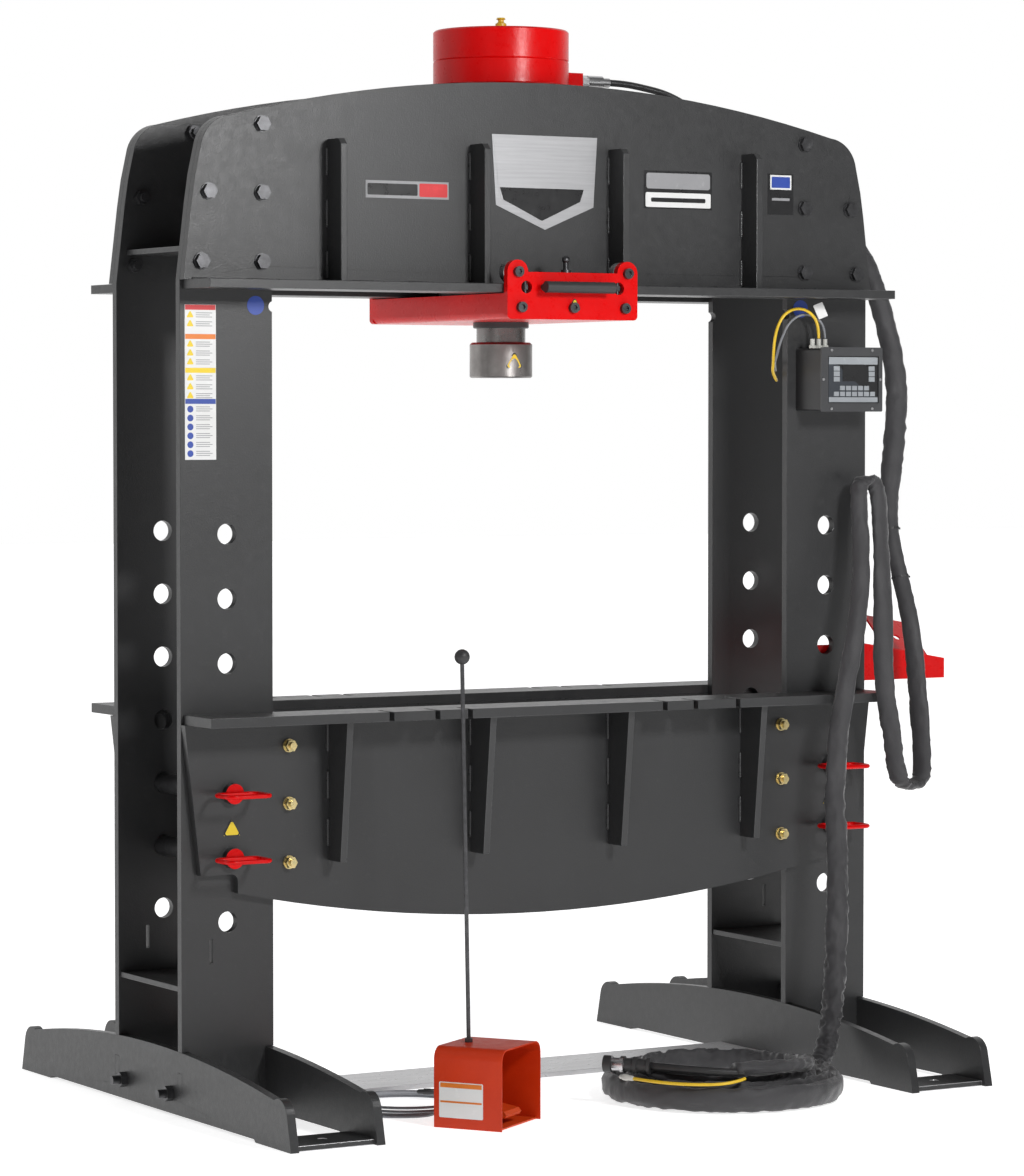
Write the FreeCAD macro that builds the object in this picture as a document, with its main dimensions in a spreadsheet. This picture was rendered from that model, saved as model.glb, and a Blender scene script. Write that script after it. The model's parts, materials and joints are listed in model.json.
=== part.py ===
import FreeCAD, Part
import math
import os
import Sketcher

# A hydraulic shop press, in millimetres: X across the posts, Y from front to back, Z up.
# The origin is the centre of the four floor anchor holes, on the floor.

SIZES = {
    "half_width": 914,
    "post_width": 227,
    "plate_t": 20,
    "half_depth": 171.5,
    "beam_low": 1846,
    "beam_rise": 462,
    "beam_end_rise": 362.5,
    "flange_t": 20,
    "beam_flange_y": 304.5,
    "rib_t": 16,
    "rib_x_inner": 184,
    "rib_x_outer": 551,
    "pin_first_z": 430,
    "pin_pitch": 143,
    "pin_hole_r": 23,
    "pin_r": 22.5,
    "bed_above_pin": 297,
    "bed_flange_t": 21.5,
    "bed_flange_y": 308.5,
    "bed_belly": 86,
    "foot_half": 690,
    "foot_high": 150,
    "anchor_y": 616.5,
    "carriage_half": 172,
    "carriage_plate_t": 16,
    "carriage_gap": 3,
    "deck_t": 58,
    "deck_gap": 2,
    "roller_r": 26,
    "roller_w": 22,
    "roller_x": 145,
    "barrel_r": 145,
    "bore_r": 101.5,
    "rod_r": 57,
    "ram_head_r": 73,
    "ram_head_h": 82,
    "cap_r": 157.5,
    "cap_h": 129,
    "guard_w": 198,
    "guard_d": 164,
    "guard_h": 176,
    "guard_t": 3,
    "sleeve_r": 22,
}

doc = FreeCAD.newDocument("press")
table = doc.addObject("Spreadsheet::Sheet", "Sizes")
for row, (word, number) in enumerate(SIZES.items(), start=1):
    table.set(f"A{row}", word)
    table.set(f"B{row}", str(number))
    table.setAlias(f"B{row}", word)
doc.recompute()

nodes = {}


# ---- lengths that carry both a number and a formula -------------------------

class Dim:
    def __init__(self, value, text, driven=True):
        self.value = value
        self.text = text
        self.driven = driven

    def joined(self, sign, other, value, swap=False):
        other = dim(other)
        left, right = (other, self) if swap else (self, other)
        return Dim(value, f"({left.text} {sign} {right.text})", self.driven or other.driven)

    def __add__(self, other):
        return self.joined("+", other, self.value + dim(other).value)

    def __radd__(self, other):
        return self + other

    def __sub__(self, other):
        return self.joined("-", other, self.value - dim(other).value)

    def __rsub__(self, other):
        return self.joined("-", other, dim(other).value - self.value, True)

    def __mul__(self, other):
        return self.joined("*", other, self.value * dim(other).value)

    def __rmul__(self, other):
        return self * other

    def __truediv__(self, other):
        return self.joined("/", other, self.value / dim(other).value)

    def __neg__(self):
        return self * -1


def dim(value):
    if isinstance(value, Dim):
        return value
    return Dim(float(value), f"({float(value)})", False)


def size(word):
    return Dim(float(SIZES[word]), "Sizes." + word)


def bind(thing, **values):
    for prop, value in values.items():
        value = dim(value)
        setattr(thing, prop, value.value)
        if value.driven:
            thing.setExpression(prop, value.text)


def place(thing, x=0, y=0, z=0, turn=None):
    spot = [dim(v) for v in (x, y, z)]
    at = FreeCAD.Vector(*[s.value for s in spot])
    thing.Placement = FreeCAD.Placement(at, turn or FreeCAD.Rotation())
    for letter, s in zip("xyz", spot):
        if s.driven:
            thing.setExpression("Placement.Base." + letter, s.text)


# ---- primitives and booleans -----------------------------------------------

TURNS = {
    "x": FreeCAD.Rotation(FreeCAD.Vector(0, 1, 0), 90),
    "y": FreeCAD.Rotation(FreeCAD.Vector(1, 0, 0), -90),
    "z": FreeCAD.Rotation(),
}


def box(name, x, y, z):
    solid = doc.addObject("Part::Box", name)
    bind(solid, Length=x[1] - x[0], Width=y[1] - y[0], Height=z[1] - z[0])
    place(solid, x[0], y[0], z[0])
    return solid


def across(along, at, low):
    spot = {"x": (low, at[0], at[1]), "y": (at[0], low, at[1]), "z": (at[0], at[1], low)}
    return spot[along]


# A round bar along one axis; at holds its other two coordinates in X, Y, Z order.
def bar(name, along, radius, at, low, high):
    solid = doc.addObject("Part::Cylinder", name)
    bind(solid, Radius=radius, Height=high - low)
    place(solid, *across(along, at, low), TURNS[along])
    return solid


def hexagon(name, along, flats, at, low, high):
    solid = doc.addObject("Part::Prism", name)
    solid.Polygon = 6
    bind(solid, Circumradius=dim(flats) / math.sqrt(3), Height=high - low)
    place(solid, *across(along, at, low), TURNS[along])
    return solid


def fuse(name, parts):
    solid = doc.addObject("Part::MultiFuse", name)
    solid.Shapes = parts
    return solid


def cut(name, base, tools):
    solid = doc.addObject("Part::Cut", name)
    solid.Base = base
    solid.Tool = tools[0] if len(tools) == 1 else fuse(name + "_tools", tools)
    return solid


def group(name, parts):
    solid = doc.addObject("Part::Compound", name)
    solid.Links = parts
    return solid


def mirrored(name, source, normal):
    solid = doc.addObject("Part::Mirroring", name)
    solid.Source = source
    solid.Normal = FreeCAD.Vector(*normal)
    return solid


def node(name, solid):
    solid.Label = name
    nodes[name] = solid
    return solid


# ---- sketched bodies --------------------------------------------------------

# The arc from start to end; side 1 turns left on the way, side -1 turns right.
def sketchArc(start, end, radius, side):
    chord = end - start
    half = chord.Length / 2
    rise = math.sqrt(max(0, radius * radius - half * half))
    left = FreeCAD.Vector(-chord.y, chord.x, 0).normalize()
    centre = (start + end) * 0.5 + left * (rise * side)
    first, last = (start, end) if side > 0 else (end, start)
    a = math.atan2(first.y - centre.y, first.x - centre.x)
    b = math.atan2(last.y - centre.y, last.x - centre.x)
    if b < a:
        b += 2 * math.pi
    return Part.ArcOfCircle(Part.Circle(centre, FreeCAD.Vector(0, 0, 1), radius), a, b)


def rule(sketch, rules, kind, *places, value):
    value = dim(value)
    rules.append((Sketcher.Constraint(kind, *places, value.value), value))


# A closed loop of vertices (x, y), or (x, y, radius, side) where an arc leads to the next.
def drawLoop(sketch, loop, rules):
    first = sketch.GeometryCount
    count = len(loop)
    spots = [(dim(v[0]), dim(v[1])) for v in loop]
    ends = []
    for i, vertex in enumerate(loop):
        start = FreeCAD.Vector(spots[i][0].value, spots[i][1].value, 0)
        after = spots[(i + 1) % count]
        end = FreeCAD.Vector(after[0].value, after[1].value, 0)
        if len(vertex) == 2:
            sketch.addGeometry(Part.LineSegment(start, end), False)
            ends.append((1, 2))
            continue
        sketch.addGeometry(sketchArc(start, end, dim(vertex[2]).value, vertex[3]), False)
        ends.append((1, 2) if vertex[3] > 0 else (2, 1))
        rule(sketch, rules, "Radius", first + i, value=vertex[2])
    for i in range(count):
        nxt = (i + 1) % count
        rule(sketch, rules, "DistanceX", -1, 1, first + i, ends[i][0], value=spots[i][0])
        rule(sketch, rules, "DistanceY", -1, 1, first + i, ends[i][0], value=spots[i][1])
        meet = Sketcher.Constraint("Coincident", first + i, ends[i][1], first + nxt, ends[nxt][0])
        rules.append((meet, None))


def drawHole(sketch, hole, rules):
    x, y, radius = [dim(v) for v in hole]
    centre = FreeCAD.Vector(x.value, y.value, 0)
    geo = sketch.addGeometry(Part.Circle(centre, FreeCAD.Vector(0, 0, 1), radius.value), False)
    rule(sketch, rules, "DistanceX", -1, 1, geo, 3, value=x)
    rule(sketch, rules, "DistanceY", -1, 1, geo, 3, value=y)
    rule(sketch, rules, "Radius", geo, value=radius)


def sketched(name, plane, loops, holes):
    body = doc.addObject("PartDesign::Body", name)
    sketch = body.newObject("Sketcher::SketchObject", name + "_outline")
    support = next(f for f in body.Origin.OriginFeatures if f.Role == plane)
    sketch.AttachmentSupport = (support, [""])
    sketch.MapMode = "FlatFace"
    rules = []
    for loop in loops:
        drawLoop(sketch, loop, rules)
    for hole in holes:
        drawHole(sketch, hole, rules)
    sketch.addConstraint([r[0] for r in rules])
    for i, (_, value) in enumerate(rules):
        if value is not None and value.driven:
            sketch.setExpression(f"Constraints[{i}]", value.text)
    return body, sketch


# A flat plate: an XZ plate grows towards -Y from y, a YZ plate towards +X, an XY plate up.
def plate(name, plane, thick, loops, holes=(), x=0, y=0, z=0, turn=None):
    body, sketch = sketched(name, plane + "_Plane", loops, holes)
    pad = body.newObject("PartDesign::Pad", name + "_pad")
    pad.Profile = sketch
    bind(pad, Length=thick)
    body.Tip = pad
    place(body, x, y, z, turn)
    return body


# A turned piece; its loops hold (radius, height) pairs.
def turned(name, loop, x=0, y=0, z=0, turn=None):
    body, sketch = sketched(name, "XZ_Plane", [loop], [])
    spin = body.newObject("PartDesign::Revolution", name + "_spin")
    spin.Profile = sketch
    spin.ReferenceAxis = (sketch, ["V_Axis"])
    spin.Angle = 360
    body.Tip = spin
    place(body, x, y, z, turn)
    return body


def rectangle(x0, x1, y0, y1):
    return [(x0, y0), (x1, y0), (x1, y1), (x0, y1)]


# A rectangle with rounded corners.
def rounded(x0, x1, y0, y1, r):
    return [
        (x0 + r, y0), (x1 - r, y0, r, 1), (x1, y0 + r), (x1, y1 - r, r, 1),
        (x1 - r, y1), (x0 + r, y1, r, 1), (x0, y1 - r), (x0, y0 + r, r, 1),
    ]


half_width = size("half_width")
plate_t = size("plate_t")
half_depth = size("half_depth")
inner_x = half_width - size("post_width")
inner_y = half_depth - plate_t
outer_y = half_depth + plate_t
beam_low = size("beam_low")
pin_x = half_width - 114
upper_pin_z = size("pin_first_z") + size("pin_pitch") * 2
lower_pin_z = size("pin_first_z") + size("pin_pitch")
foot_high = size("foot_high")

BEAM_BOLTS = [(192, 345), (192, 194), (192, 42), (61, 194), (43, 41)]
beam_bolts = [(half_width - inset, beam_low + up) for inset, up in BEAM_BOLTS]


# ---- posts ------------------------------------------------------------------

upright_low = dim(10)
foot_shoulder = foot_high - 2.9
beam_end_z = beam_low + size("beam_end_rise")


def upright(name, y):
    outline = [
        (inner_x + plate_t, upright_low),
        (half_width - plate_t, upright_low),
        (half_width - plate_t, 57),
        (half_width, 57),
        (half_width, 100),
        (half_width - plate_t, 100),
        (half_width - plate_t, foot_shoulder),
        (half_width, foot_shoulder),
        (half_width, beam_low),
        (half_width - 21, beam_low + 174),
        (half_width - 30, beam_low + 234),
        (half_width - 46, beam_low + 306, 80, 1),
        (half_width - 116, beam_end_z),
        (inner_x, beam_end_z),
        (inner_x, beam_low - 44.5, 12, -1),
        (inner_x, beam_low - 67.5),
        (inner_x, foot_shoulder),
        (inner_x + plate_t, foot_shoulder),
    ]
    slot = rectangle(half_width - 77, half_width - 69, 340, 393)
    holes = [(x, z, 10.5) for x, z in beam_bolts]
    for step in range(7):
        holes.append((pin_x, size("pin_first_z") + size("pin_pitch") * step, size("pin_hole_r")))
    return plate(name, "XZ", plate_t, [outline, slot], holes, y=y)


right_front = node("right_front_upright", upright("right_front_upright", -inner_y))
right_rear = node("right_rear_upright", upright("right_rear_upright", half_depth))
node("left_front_upright", mirrored("left_front_upright", right_front, (1, 0, 0)))
node("left_rear_upright", mirrored("left_rear_upright", right_rear, (1, 0, 0)))


# Plates inside each post, between its front and rear plate.
def crossPlates(side):
    name = "cross_" + ("right" if side > 0 else "left")
    web = (-inner_y, inner_y)
    flat = []
    for label, low, reach in (("low", dim(279), 4), ("high", beam_low + 64, 26)):
        a, b = inner_x + 3, half_width - reach
        x = (a, b) if side > 0 else (-b, -a)
        flat.append(box(f"{name}_{label}", x, web, (low, low + 12)))
    a, b = half_width - plate_t - 12, half_width - plate_t
    x = (a, b) if side > 0 else (-b, -a)
    wall = box(name + "_web", x, web, (upright_low + 2, foot_high - 10))
    holes = [bar(f"{name}_hole{y}", "x", 10.5, (y, 51), x[0] - 1, x[1] + 1) for y in (-118, 118)]
    flat.append(cut(name + "_drilled", wall, holes))
    return flat


node("post_cross_plates", group("post_cross_plates", crossPlates(1) + crossPlates(-1)))


# ---- top beam ---------------------------------------------------------------

def rightEnd():
    return [
        (half_width, beam_low),
        (half_width - 21, beam_low + 174),
        (half_width - 30, beam_low + 234),
    ]


def beamPlate(name, y):
    crown_half = half_width - 116
    rise = size("beam_rise") - size("beam_end_rise")
    radius = (crown_half * crown_half + rise * rise) / (rise * 2)
    outline = rightEnd() + [
        (half_width - 46, beam_low + 306, 80, 1),
        (crown_half, beam_end_z, radius, 1),
        (-crown_half, beam_end_z, 80, 1),
        (-(half_width - 46), beam_low + 306),
    ]
    outline += [(-x, z) for x, z in reversed(rightEnd())]
    holes = [(x * side, z, 10.5) for x, z in beam_bolts for side in (1, -1)]
    return plate(name, "XZ", plate_t, [outline], holes, y=y)


node("front_beam_plate", beamPlate("front_beam_plate", -half_depth))
node("rear_beam_plate", beamPlate("rear_beam_plate", outer_y))

beam_flange_x = half_width - 8
flange_z = (beam_low - size("flange_t"), beam_low)
front_flange = box(
    "beam_flange_front",
    (-beam_flange_x, beam_flange_x),
    (-size("beam_flange_y"), -half_depth),
    flange_z,
)
rear_flange = mirrored("beam_flange_rear", front_flange, (0, 1, 0))
node("beam_flanges", group("beam_flanges", [front_flange, rear_flange]))

rib_t = size("rib_t")
rib_places = [size("rib_x_outer") * -1, size("rib_x_inner") * -1, size("rib_x_inner"), size("rib_x_outer")]


def beamRibs():
    profile = [
        (-outer_y - 65, beam_low),
        (-outer_y, beam_low),
        (-outer_y, beam_low + 316),
        (-outer_y - 53, beam_low + 316),
        (-outer_y - 65, beam_low + 304),
    ]
    ribs = []
    for i, x in enumerate(rib_places):
        rib = plate(f"beam_rib_{i}", "YZ", rib_t, [profile], x=x - rib_t / 2)
        ribs += [rib, mirrored(f"beam_rib_rear_{i}", rib, (0, 1, 0))]
    return ribs


node("beam_ribs", group("beam_ribs", beamRibs()))


# A hexagon bolt through one side of the frame: head outside, nut inside.
def frameBolt(name, x, z, front):
    y0, y1, y2 = outer_y, inner_y, inner_y - 26
    parts = [
        hexagon(name + "_head", "y", 30, (x, z), y0, y0 + 13),
        bar(name + "_washer", "y", 18.5, (x, z), y0, y0 + 3),
        bar(name + "_shank", "y", 10, (x, z), y2, y0 + 1),
        hexagon(name + "_nut", "y", 30, (x, z), y1 - 16, y1),
    ]
    solid = fuse(name, parts)
    return mirrored(name + "_front", solid, (0, 1, 0)) if front else solid


def frameBolts():
    bolts = []
    for i, (x, z) in enumerate(beam_bolts):
        for side in (1, -1):
            for front in (True, False):
                bolts.append(frameBolt(f"bolt_{i}_{side > 0}_{front}", x * side, z, front))
    return bolts



# ---- bed --------------------------------------------------------------------

bed_low_z = lower_pin_z + size("bed_above_pin")
bed_top = bed_low_z + size("bed_flange_t")
notch_z = lower_pin_z - 36
belly_x = half_width - 129
belly_z = lower_pin_z - 79
spacer_x = half_width - 256
spacer_z = [lower_pin_z - 16, lower_pin_z + 115, lower_pin_z + 244]


def bedPlate(name, y):
    belly = size("bed_belly")
    radius = (belly_x * belly_x + belly * belly) / (belly * 2)
    outline = [
        (-belly_x, belly_z, radius, 1),
        (belly_x, belly_z),
        (belly_x, notch_z - 16, 16, -1),
        (belly_x + 16, notch_z),
        (half_width - 38, notch_z),
        (half_width, bed_low_z),
        (-half_width, bed_low_z),
        (-half_width + 38, notch_z),
        (-belly_x - 16, notch_z, 16, -1),
        (-belly_x, notch_z - 16),
    ]
    holes = []
    for side in (1, -1):
        holes += [(pin_x * side, z, size("pin_hole_r")) for z in (lower_pin_z, upper_pin_z)]
        holes += [(spacer_x * side, z, 8.5) for z in spacer_z]
    return plate(name, "XZ", plate_t, [outline], holes, y=y)


node("front_bed_plate", bedPlate("front_bed_plate", -half_depth))
node("rear_bed_plate", bedPlate("rear_bed_plate", outer_y))


def bedFlange():
    x = half_width - 7
    edge = size("bed_flange_y")
    base = box("bed_flange_blank", (-x, x), (-edge, -half_depth), (bed_low_z, bed_top))
    slots = []
    for i, middle in enumerate((-460, -343, -259, 259, 343, 460)):
        slots.append(box(f"bed_slot_{i}", (dim(middle - 6), dim(middle + 6)),
                         (-edge - 1, -edge + 54), (bed_low_z - 1, bed_top + 1)))
        slots.append(bar(f"bed_slot_end_{i}", "z", 6, (middle, -edge + 54), bed_low_z - 1, bed_top + 1))
    front = cut("bed_flange_front", base, slots)
    return [front, mirrored("bed_flange_rear", front, (0, 1, 0))]


node("bed_flanges", group("bed_flanges", bedFlange()))


def bedRibs():
    profile = [
        (-outer_y - 58, lower_pin_z - 17),
        (-outer_y, lower_pin_z - 17),
        (-outer_y, bed_low_z),
        (-outer_y - 92, bed_low_z),
    ]
    ribs = []
    for i, x in enumerate(rib_places):
        rib = plate(f"bed_rib_{i}", "YZ", rib_t, [profile], x=x - rib_t / 2)
        ribs += [rib, mirrored(f"bed_rib_rear_{i}", rib, (0, 1, 0))]
    return ribs


node("bed_ribs", group("bed_ribs", bedRibs()))


def bedSpacers():
    tubes = []
    bolts = []
    for side in (1, -1):
        for i, z in enumerate(spacer_z):
            at = (spacer_x * side, z)
            tag = f"{i}_{side > 0}"
            tube = bar("spacer_" + tag, "y", 15, at, -half_depth, half_depth)
            hole = bar("spacer_bore_" + tag, "y", 8.5, at, -outer_y, outer_y)
            tubes.append(cut("spacer_tube_" + tag, tube, [hole]))
            bolts.append(fuse("spacer_bolt_" + tag, [
                bar("spacer_rod_" + tag, "y", 8, at, -outer_y - 24, outer_y + 24),
                bar("spacer_washer_" + tag, "y", 15, at, -outer_y - 3, -outer_y),
                hexagon("spacer_nut_" + tag, "y", 24, at, -outer_y - 16, -outer_y),
                hexagon("spacer_head_" + tag, "y", 24, at, outer_y, outer_y + 15),
            ]))
    return tubes, bolts


spacer_tubes, spacer_bolts = bedSpacers()
node("bed_spacers", group("bed_spacers", spacer_tubes))
node("bed_bolts", group("bed_bolts", spacer_bolts))


# ---- bed pins with their pull handles --------------------------------------

HANDLE_R = 5
HANDLE_BEND = 16


def pin(name, x, z):
    length = (half_depth + 37) * 2
    shaft = [
        (0, 0), (size("pin_r"), 0), (size("pin_r"), length - 5), (size("pin_r") - 5, length), (0, length),
    ]
    body = turned(name + "_shaft", shaft, turn=TURNS["y"])
    return body


# A closed pull handle bent from round bar, lying flat in front of the pin.
def pullHandle(name):
    r, bend, reach, half = HANDLE_R, HANDLE_BEND, 77.0, 52.0
    inner, outer = 1.5 - r, -reach
    parts = [
        bar(name + "_back", "x", r, (inner, 0), -half + bend, half - bend),
        bar(name + "_grip", "x", r, (outer, 0), -half + bend, half - bend),
        bar(name + "_left", "y", r, (-half, 0), outer + bend, inner - bend),
        bar(name + "_right", "y", r, (half, 0), outer + bend, inner - bend),
    ]
    corners = [
        (half - bend, inner - bend, 0), (-half + bend, inner - bend, 90),
        (-half + bend, outer + bend, 180), (half - bend, outer + bend, 270),
    ]
    for i, (x, y, turn) in enumerate(corners):
        ring = doc.addObject("Part::Torus", f"{name}_bend{i}")
        ring.Radius1 = bend
        ring.Radius2 = r
        ring.Angle3 = 90
        place(ring, x, y, 0, FreeCAD.Rotation(FreeCAD.Vector(0, 0, 1), turn))
        parts.append(ring)
    return parts


for label, side, z in (
    ("left_upper", -1, upper_pin_z), ("left_lower", -1, lower_pin_z),
    ("right_upper", 1, upper_pin_z), ("right_lower", 1, lower_pin_z),
):
    shaft = pin(label, 0, 0)
    solid = fuse(label + "_pin", [shaft] + pullHandle(label + "_handle"))
    place(solid, pin_x * side, -(half_depth + 37), z)
    node(label + "_pin", solid)


# ---- feet -------------------------------------------------------------------

foot_half = size("foot_half")
foot_end_z = foot_high - 47


def footPlate(name, x, outer):
    radius_half = foot_half - 77
    radius = (radius_half * radius_half + 47 * 47) / 94
    outline = [
        (-foot_half, 0),
        (-foot_half + 165, 0),
        (-foot_half + 171, 6),
        (foot_half - 171, 6),
        (foot_half - 165, 0),
        (foot_half, 0),
        (foot_half - 18, foot_end_z - 29, 40, 1),
        (radius_half, foot_end_z, radius, 1),
        (-radius_half, foot_end_z, 40, 1),
        (-(foot_half - 18), foot_end_z - 29),
    ]
    loops = [outline]
    holes = []
    if outer:
        for y in (-inner_y - plate_t / 2, inner_y + plate_t / 2):
            loops.append(rectangle(y - plate_t / 2 - 0.4, y + plate_t / 2 + 0.4, 56.6, 100.4))
        holes = [(-118, 51, 10.5), (118, 51, 10.5)]
    return plate(name, "YZ", plate_t, loops, holes, x=x)


outer_foot = node("right_outer_foot", footPlate("right_outer_foot", half_width - plate_t, True))
inner_foot = node("right_inner_foot", footPlate("right_inner_foot", inner_x, False))
node("left_outer_foot", mirrored("left_outer_foot", outer_foot, (1, 0, 0)))
node("left_inner_foot", mirrored("left_inner_foot", inner_foot, (1, 0, 0)))


def footCrossPlates():
    plates = []
    anchor_y = size("anchor_y")
    middle = half_width - size("post_width") / 2
    for side in (1, -1):
        for end in (1, -1):
            tag = f"{side > 0}_{end > 0}"
            x = (inner_x + plate_t, half_width - plate_t)
            x = x if side > 0 else (-x[1], -x[0])
            y = (anchor_y - 60, anchor_y + 60)
            y = y if end > 0 else (-y[1], -y[0])
            base = box("foot_cross_" + tag, x, y, (dim(0), dim(12)))
            hole = bar("anchor_hole_" + tag, "z", 9, (middle * side, anchor_y * end), dim(-1), dim(13))
            plates.append(cut("foot_cross_drilled_" + tag, base, [hole]))
    return plates


tie_plate = box("tie_plate", (-inner_x, inner_x), (dim(-105.5), dim(105.5)), (dim(9), dim(20)))
node("floor_plates", group("floor_plates", footCrossPlates() + [tie_plate]))


def footBolts():
    bolts = []
    for side in (1, -1):
        for y in (-118, 118):
            tag = f"foot_bolt_{side > 0}_{y > 0}"
            x0 = half_width - 48
            outside = half_width
            solid = fuse(tag, [
                bar(tag + "_rod", "x", 10, (y, 51), x0, half_width + 35),
                hexagon(tag + "_outer", "x", 30, (y, 51), outside, outside + 16),
                hexagon(tag + "_inner", "x", 30, (y, 51), x0, half_width - plate_t - 12),
            ])
            bolts.append(solid if side > 0 else mirrored(tag + "_left", solid, (1, 0, 0)))
    return bolts


node("frame_bolts", group("frame_bolts", frameBolts() + footBolts()))


# ---- carriage ---------------------------------------------------------------

carriage_half = size("carriage_half")
deck_high = beam_low - size("flange_t") - size("deck_gap")
deck_low = deck_high - size("deck_t")
carriage_y = size("beam_flange_y") + size("carriage_gap")
face_y = carriage_y + size("carriage_plate_t")
roller_r = size("roller_r")
roller_x = size("roller_x")
axle_z = beam_low + roller_r + 0.3
ear_r = carriage_half - roller_x
socket_x = [dim(-137), dim(0), dim(137)]
socket_z = deck_low + 27
handle_z = deck_low + 72


def carriagePlate(name, y):
    outline = [
        (-carriage_half + 10, deck_low),
        (carriage_half - 10, deck_low, 10, 1),
        (carriage_half, deck_low + 10),
        (carriage_half, axle_z, ear_r, 1),
        (roller_x, axle_z + ear_r, ear_r, 1),
        (roller_x - ear_r, axle_z),
        (-roller_x + ear_r, axle_z, ear_r, 1),
        (-roller_x, axle_z + ear_r, ear_r, 1),
        (-carriage_half, axle_z),
        (-carriage_half, deck_low + 10, 10, 1),
    ]
    holes = [(roller_x * side, axle_z, 8.2) for side in (1, -1)]
    holes += [(x, socket_z, 6.2) for x in socket_x]
    holes += [(122 * side, handle_z, 14) for side in (1, -1)]
    return plate(name, "XZ", size("carriage_plate_t"), [outline], holes, y=y)


def screwLug(name, y0, y1):
    lug = box(name + "_blank", (dim(-20), dim(20)), (y0, y1), (axle_z - 22, axle_z))
    hole = bar(name + "_bore", "z", 6.2, (0, -carriage_y + 16), axle_z - 30, axle_z + 5)
    return cut(name, lug, [hole])


front_plate = carriagePlate("carriage_front_blank", -carriage_y)
lug = screwLug("lock_lug", -carriage_y - 1, -carriage_y + 28)
node("carriage_front_plate", fuse("carriage_front_plate", [front_plate, lug]))
node("carriage_rear_plate", carriagePlate("carriage_rear_plate", face_y))


def carriageDeck():
    section = [
        (-carriage_half + 15, deck_low),
        (carriage_half - 15, deck_low, 15, 1),
        (carriage_half, deck_low + 15),
        (carriage_half, deck_high),
        (-carriage_half, deck_high),
        (-carriage_half, deck_low + 15, 15, 1),
    ]
    block = plate("deck_block", "XZ", carriage_y * 2, [section], y=carriage_y)
    tools = [bar("deck_bore", "z", 65, (0, 0), deck_low - 1, deck_high + 1)]
    for i, x in enumerate(socket_x):
        tools.append(bar(f"deck_tap_front_{i}", "y", 6.2, (x, socket_z), -carriage_y - 1, -carriage_y + 30))
        tools.append(bar(f"deck_tap_rear_{i}", "y", 6.2, (x, socket_z), carriage_y - 30, carriage_y + 1))
    return cut("carriage_deck", block, tools)


node("carriage_deck", carriageDeck())


# Socket head screws: the head stands on the plate's face and has a hexagon socket.
def socketScrew(name, x, z, head_r, head_h, shank_r, depth):
    head = bar(name + "_head", "y", head_r, (x, z), -face_y - head_h, -face_y)
    shank = bar(name + "_shank", "y", shank_r, (x, z), -face_y - 1, -face_y + depth)
    socket = hexagon(name + "_socket", "y", head_r * 0.95, (x, z), -face_y - head_h - 1, -face_y - head_h + 5)
    return cut(name, fuse(name + "_solid", [head, shank]), [socket])


def carriageScrews():
    screws = []
    for i, x in enumerate(socket_x):
        screw = socketScrew(f"deck_screw_{i}", x, socket_z, 12, 10, 6, 44)
        screws += [screw, mirrored(f"deck_screw_rear_{i}", screw, (0, 1, 0))]
    return screws



def rollerAxles():
    axles = []
    roller_w = size("roller_w")
    for side in (1, -1):
        tag = f"axle_{side > 0}"
        x = roller_x * side
        screw = socketScrew(tag, x, axle_z, 12, 9, 7.95, size("carriage_plate_t") + 3 + roller_w + 4.5)
        collar = bar(tag + "_collar", "y", 12, (x, axle_z), -carriage_y, -carriage_y + 2.6)
        keeper = bar(tag + "_keeper", "y", 12, (x, axle_z), -carriage_y + 3.4 + roller_w, -carriage_y + 7.4 + roller_w)
        solid = fuse(tag + "_assembly", [screw, collar, keeper])
        axles += [solid, mirrored(tag + "_rear", solid, (0, 1, 0))]
    return axles



def roller(name, x, front):
    r, w = roller_r, size("roller_w")
    loop = [(8, 0), (r - 1.5, 0), (r, 1.5), (r, w - 1.5), (r - 1.5, w), (8, w)]
    y = -carriage_y + 3 if front else carriage_y - 3 - w
    return turned(name, loop, x, y, axle_z, TURNS["y"])


for label, side, front in (
    ("front_left", -1, True), ("front_right", 1, True),
    ("rear_left", -1, False), ("rear_right", 1, False),
):
    node("roller_" + label, roller("roller_" + label, roller_x * side, front))


# Adjusting studs seen in the round windows of the carriage plates.
def guideStuds():
    studs = []
    middle = -carriage_y - size("carriage_plate_t") / 2
    for side in (1, -1):
        tag = f"stud_{side > 0}"
        at = (122 * side, middle)
        solid = fuse(tag, [
            bar(tag + "_rod", "z", 4, at, handle_z - 13.4, handle_z + 13.4),
            hexagon(tag + "_nut", "z", 13, at, handle_z - 5, handle_z + 6),
        ])
        studs += [solid, mirrored(tag + "_rear", solid, (0, 1, 0))]
    return studs


node("carriage_screws", group("carriage_screws", carriageScrews() + rollerAxles() + guideStuds()))


def carriageHandle():
    parts = [
        bar("grip", "x", 13, (-face_y - 30, handle_z), dim(-90), dim(90)),
        bar("grip_post_left", "y", 9, (-76, handle_z), -face_y - 30, -face_y),
        bar("grip_post_right", "y", 9, (76, handle_z), -face_y - 30, -face_y),
    ]
    return fuse("carriage_handle", parts)


node("carriage_handle", carriageHandle())


def lockScrew():
    at = (0, -carriage_y + 16)
    parts = [
        bar("lock_shank", "z", 6, at, beam_low + 0.5, axle_z + 26),
        bar("lock_collar", "z", 11, at, axle_z + 0.3, axle_z + 7),
    ]
    ball = doc.addObject("Part::Sphere", "lock_knob")
    ball.Radius = 9
    place(ball, 0, at[1], axle_z + 30)
    return fuse("lock_screw", parts + [ball])


node("lock_screw", lockScrew())


# ---- cylinder and ram -------------------------------------------------------

barrel_r = size("barrel_r")
bore_r = size("bore_r")
rod_r = size("rod_r")
cap_r = size("cap_r")
cap_low = beam_low + size("beam_rise") + 3
cap_top = cap_low + size("cap_h")
barrel_h = cap_low - deck_high

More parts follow.
